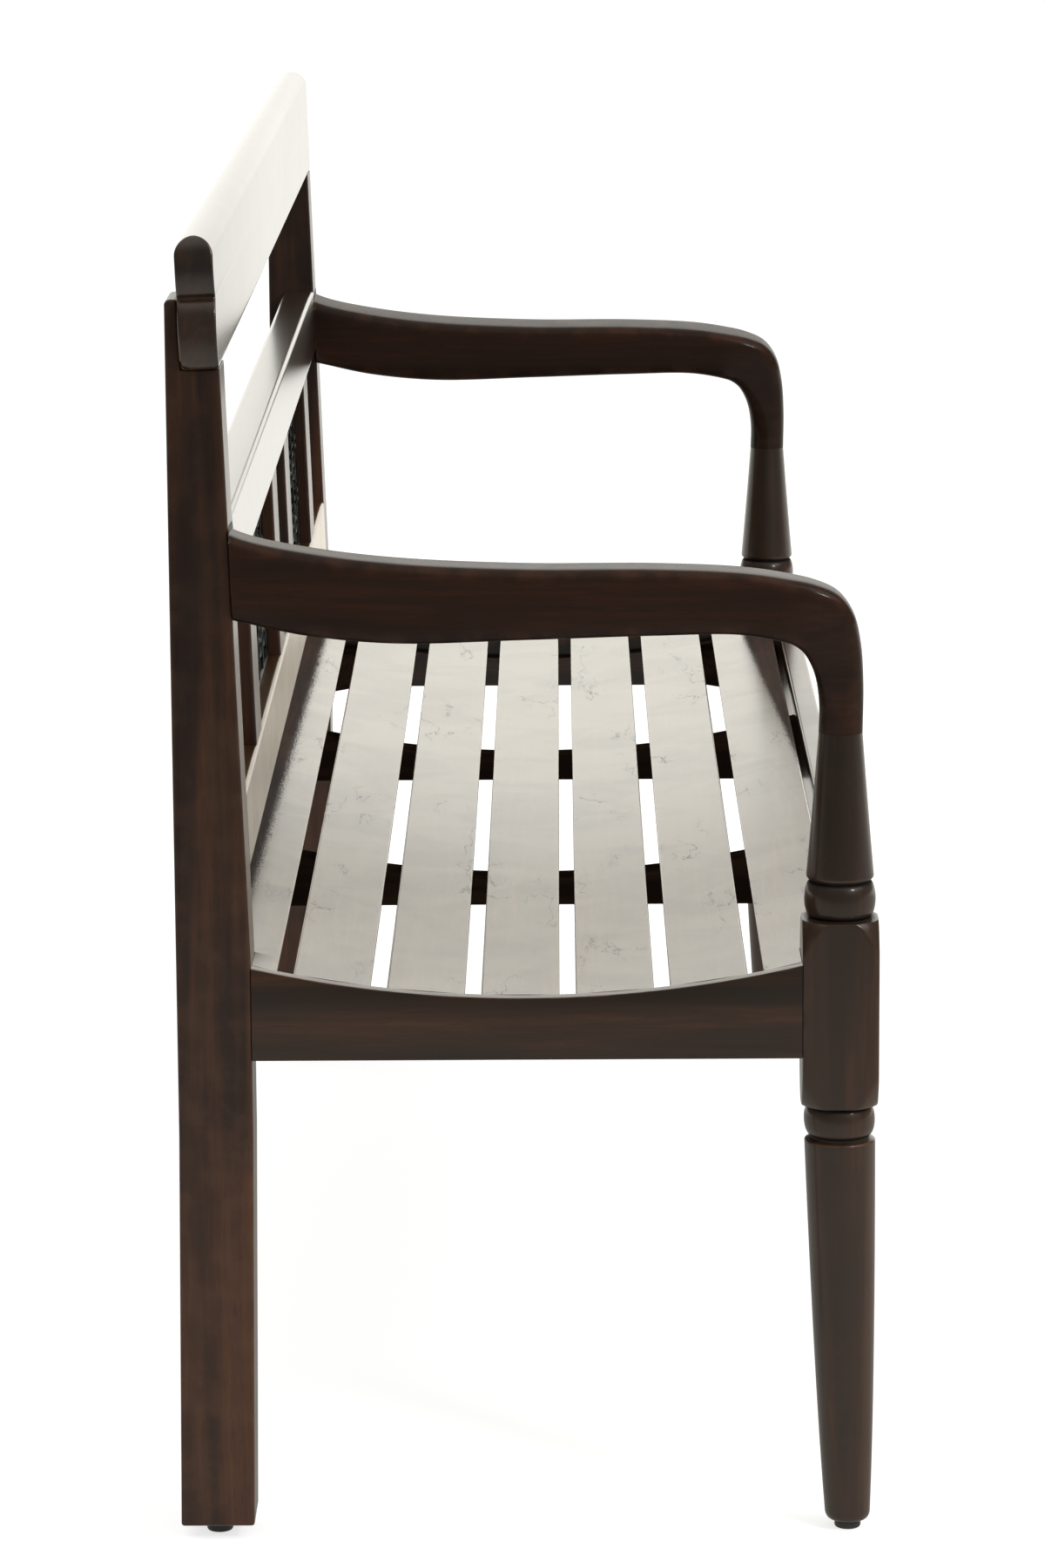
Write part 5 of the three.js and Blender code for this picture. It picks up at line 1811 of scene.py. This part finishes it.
@dataclass(frozen=True)
class Studio:
    """A white room with soft light, a pale floor that keeps the shadow, and the photograph's viewpoint.

    The backdrop is the bright wall beyond the bench's far end, which its polished faces mirror. It fades in
    along X and out along Z between the values of its edges, and the ceiling fades in along Z. The room is the
    least light that a mirror shows. The floor, mirrored, glows at its near values towards the lens and rises
    to its far value at the far end.
    """

    lens: float = 132.0
    sensor: float = 36.0
    sight: float = 100.0
    eye: Place = (-4.713, -0.026, 1.351)
    yaw: float = np.radians(0.393)
    pitch: float = np.radians(11.340)
    roll: float = np.radians(-0.369)
    warm_white: Colour = (1.0, 0.995, 0.95)
    sky: float = 0.6
    room: float = 0.1
    backdrop: float = 1.54
    backdrop_side: Pair = (0.7, 0.93)
    backdrop_top: Pair = (0.3, 0.6)
    ceiling: float = 0.55
    ceiling_edge: Pair = (0.3, 0.9)
    floor_size: float = 60.0
    floor_white: Colour = (0.7, 0.7, 0.7)
    floor_lift: float = 0.7
    near_glow: Pair = (0.1, 0.5)
    near_floor: Pair = (-5.5, -0.8)
    far_glow: float = 1.36
    far_floor: Pair = (0.0, 3.0)
    lamps: tuple[Softbox, ...] = (
        Softbox("key", (-1.6, -2.6, 3.2), (0, 0, 0.5), 2.4, 30.0),
        Softbox("fill", (1.8, 2.4, 3.0), (0, 0, 0.5), 2.4, 14.0),
        Softbox("glint", (-3.1, -2.6, 2.7), (-0.7, -0.1, 0.6), 0.5, 30.0),
    )

    def place_camera(self) -> None:
        """Aims a long lens along the bench: forward from yaw and pitch, then rolled about the view."""
        forward = Vector((
            np.cos(self.pitch) * np.cos(self.yaw),
            np.cos(self.pitch) * np.sin(self.yaw),
            -np.sin(self.pitch),
        ))
        level = Vector((np.sin(self.yaw), -np.cos(self.yaw), 0))
        upright = level.cross(forward)
        right = np.cos(self.roll) * level + np.sin(self.roll) * upright
        up = -np.sin(self.roll) * level + np.cos(self.roll) * upright
        camera = bpy.data.objects.new("viewpoint", bpy.data.cameras.new("viewpoint"))
        camera.data.lens = self.lens
        camera.data.sensor_width = self.sensor
        camera.data.clip_end = self.sight
        turned = Matrix((right, up, -forward)).transposed().to_4x4()
        camera.matrix_world = Matrix.Translation(self.eye) @ turned
        bpy.context.collection.objects.link(camera)
        bpy.context.scene.camera = camera

    def light(self) -> None:
        """Lights the room: white for the lens, wall and ceiling for mirrors, a soft glow for all else."""
        world = bpy.data.worlds.new("white_room")
        world.use_nodes = True
        bpy.context.scene.world = world
        shader = Shader(world.node_tree)
        world.node_tree.nodes.clear()
        path = shader.add("LightPath").outputs
        toward = shader.add("SeparateXYZ", {0: shader.add("TexCoord").outputs["Generated"]}).outputs
        ahead = shader.span(toward["X"], *self.backdrop_side, (0.0, self.backdrop))
        low = shader.span(toward["Z"], *self.backdrop_top, (1.0, 0.0))
        above = shader.span(toward["Z"], *self.ceiling_edge, (0.0, self.ceiling))
        bright = shader.math("MAXIMUM", shader.math("MULTIPLY", ahead, low), above)
        glossy = shader.math("MULTIPLY", path["Is Glossy Ray"], shader.math("MAXIMUM", bright, self.room))
        straight = shader.math("MAXIMUM", path["Is Camera Ray"], path["Is Transmission Ray"])
        direct = shader.math("ADD", straight, path["Is Glossy Ray"])
        diffuse = shader.math("MULTIPLY", shader.math("SUBTRACT", 1.0, direct), self.sky)
        strength = shader.math("ADD", shader.math("ADD", straight, glossy), diffuse)
        colour = shader.mix(path["Is Camera Ray"], self.warm_white, (1, 1, 1))
        sky = shader.add("Background", {"Color": colour, "Strength": strength})
        shader.link(sky.outputs[0], shader.add("OutputWorld").inputs["Surface"])
        for lamp in self.lamps:
            lamp.hang()

    def lay_floor(self) -> None:
        """Lays a white floor: it takes the shadow, and shows white to the lens and to reflections."""
        half = self.floor_size / 2
        mesh = bpy.data.meshes.new("floor")
        corners = [(-half, -half, 0), (half, -half, 0), (half, half, 0), (-half, half, 0)]
        mesh.from_pydata(corners, [], [(0, 1, 2, 3)])
        floor = bpy.data.objects.new("floor", mesh)
        bpy.context.collection.objects.link(floor)
        material, shader, surface = new_material("white_floor")
        surface.inputs["Base Color"].default_value = (*self.floor_white, 1)
        surface.inputs["Roughness"].default_value = 1.0
        surface.inputs["Specular IOR Level"].default_value = 0.0
        path = shader.add("LightPath").outputs
        x = shader.add("SeparateXYZ", {0: shader.add("TexCoord").outputs["Object"]}).outputs["X"]
        toward_lens = shader.span(x, *self.near_floor, self.near_glow)
        beyond = shader.span(x, *self.far_floor, (0.0, self.far_glow))
        glow = shader.math("MAXIMUM", toward_lens, beyond)
        mirrored = shader.add("Emission", {"Color": (*self.warm_white, 1), "Strength": glow})
        lift = shader.math("MULTIPLY", path["Is Camera Ray"], self.floor_lift)
        lifted = shader.add("Emission", {"Strength": lift})
        lit = shader.add("AddShader", {0: surface.outputs[0], 1: lifted.outputs[0]})
        bounced = shader.math("MAXIMUM", path["Is Glossy Ray"], path["Is Transmission Ray"])
        choice = shader.add("MixShader", {0: bounced, 1: lit.outputs[0], 2: mirrored.outputs[0]})
        shader.link(choice.outputs[0], shader.tree.nodes["Material Output"].inputs["Surface"])
        mesh.materials.append(material)


def dress_cad_nodes(finishes: dict[str, bpy.types.Material]) -> None:
    """Gives each CAD node that still shows its finish, by the start of its name."""
    for name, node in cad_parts.items():
        for start, material in finishes.items():
            if name.startswith(start):
                node.data.materials.clear()
                node.data.materials.append(material)
                LOG.info("%s keeps its CAD solid", name)


def main() -> None:
    """Builds the room and the bench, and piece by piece."""
    logging.basicConfig(level=logging.INFO, format="%(name)s: %(message)s")
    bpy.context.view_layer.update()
    bpy.context.scene.view_settings.view_transform = "Standard"
    studio = Studio()
    studio.place_camera()
    studio.light()
    studio.lay_floor()

    finish = {piece: look.build() for piece, look in FINISHES.items()}
    Seat().build(finish["side_rails"], finish["front_rail"], finish["seat_slats"])
    BOARDS.build(finish["back_rails"], finish["low_rail"], finish["back_posts_and_slats"])
    for side in Side:
        FrontPost().build(side, finish["front_posts"])
        BackPost().build(side, finish["back_posts_and_slats"])
        Arm().build(side, finish["arms"])
        PiercedPanel().build(side, finish["panels"])
    for face in Face:
        for side in Side:
            Glide().build(face, side, finish["foot_pads"])
    dress_cad_nodes({
        "corner_block": finish["blocks_and_battens"],
        "seat_batten": finish["blocks_and_battens"],
        "back_seat_rail": finish["hidden_rail"],
        "arm_post_dowel": finish["dowels"],
        "arm_root_dowel": finish["dowels"],
        "slat_screw": finish["screws"],
        "crest_screw": finish["screws"],
    })


if __name__ == "__main__":
    main()
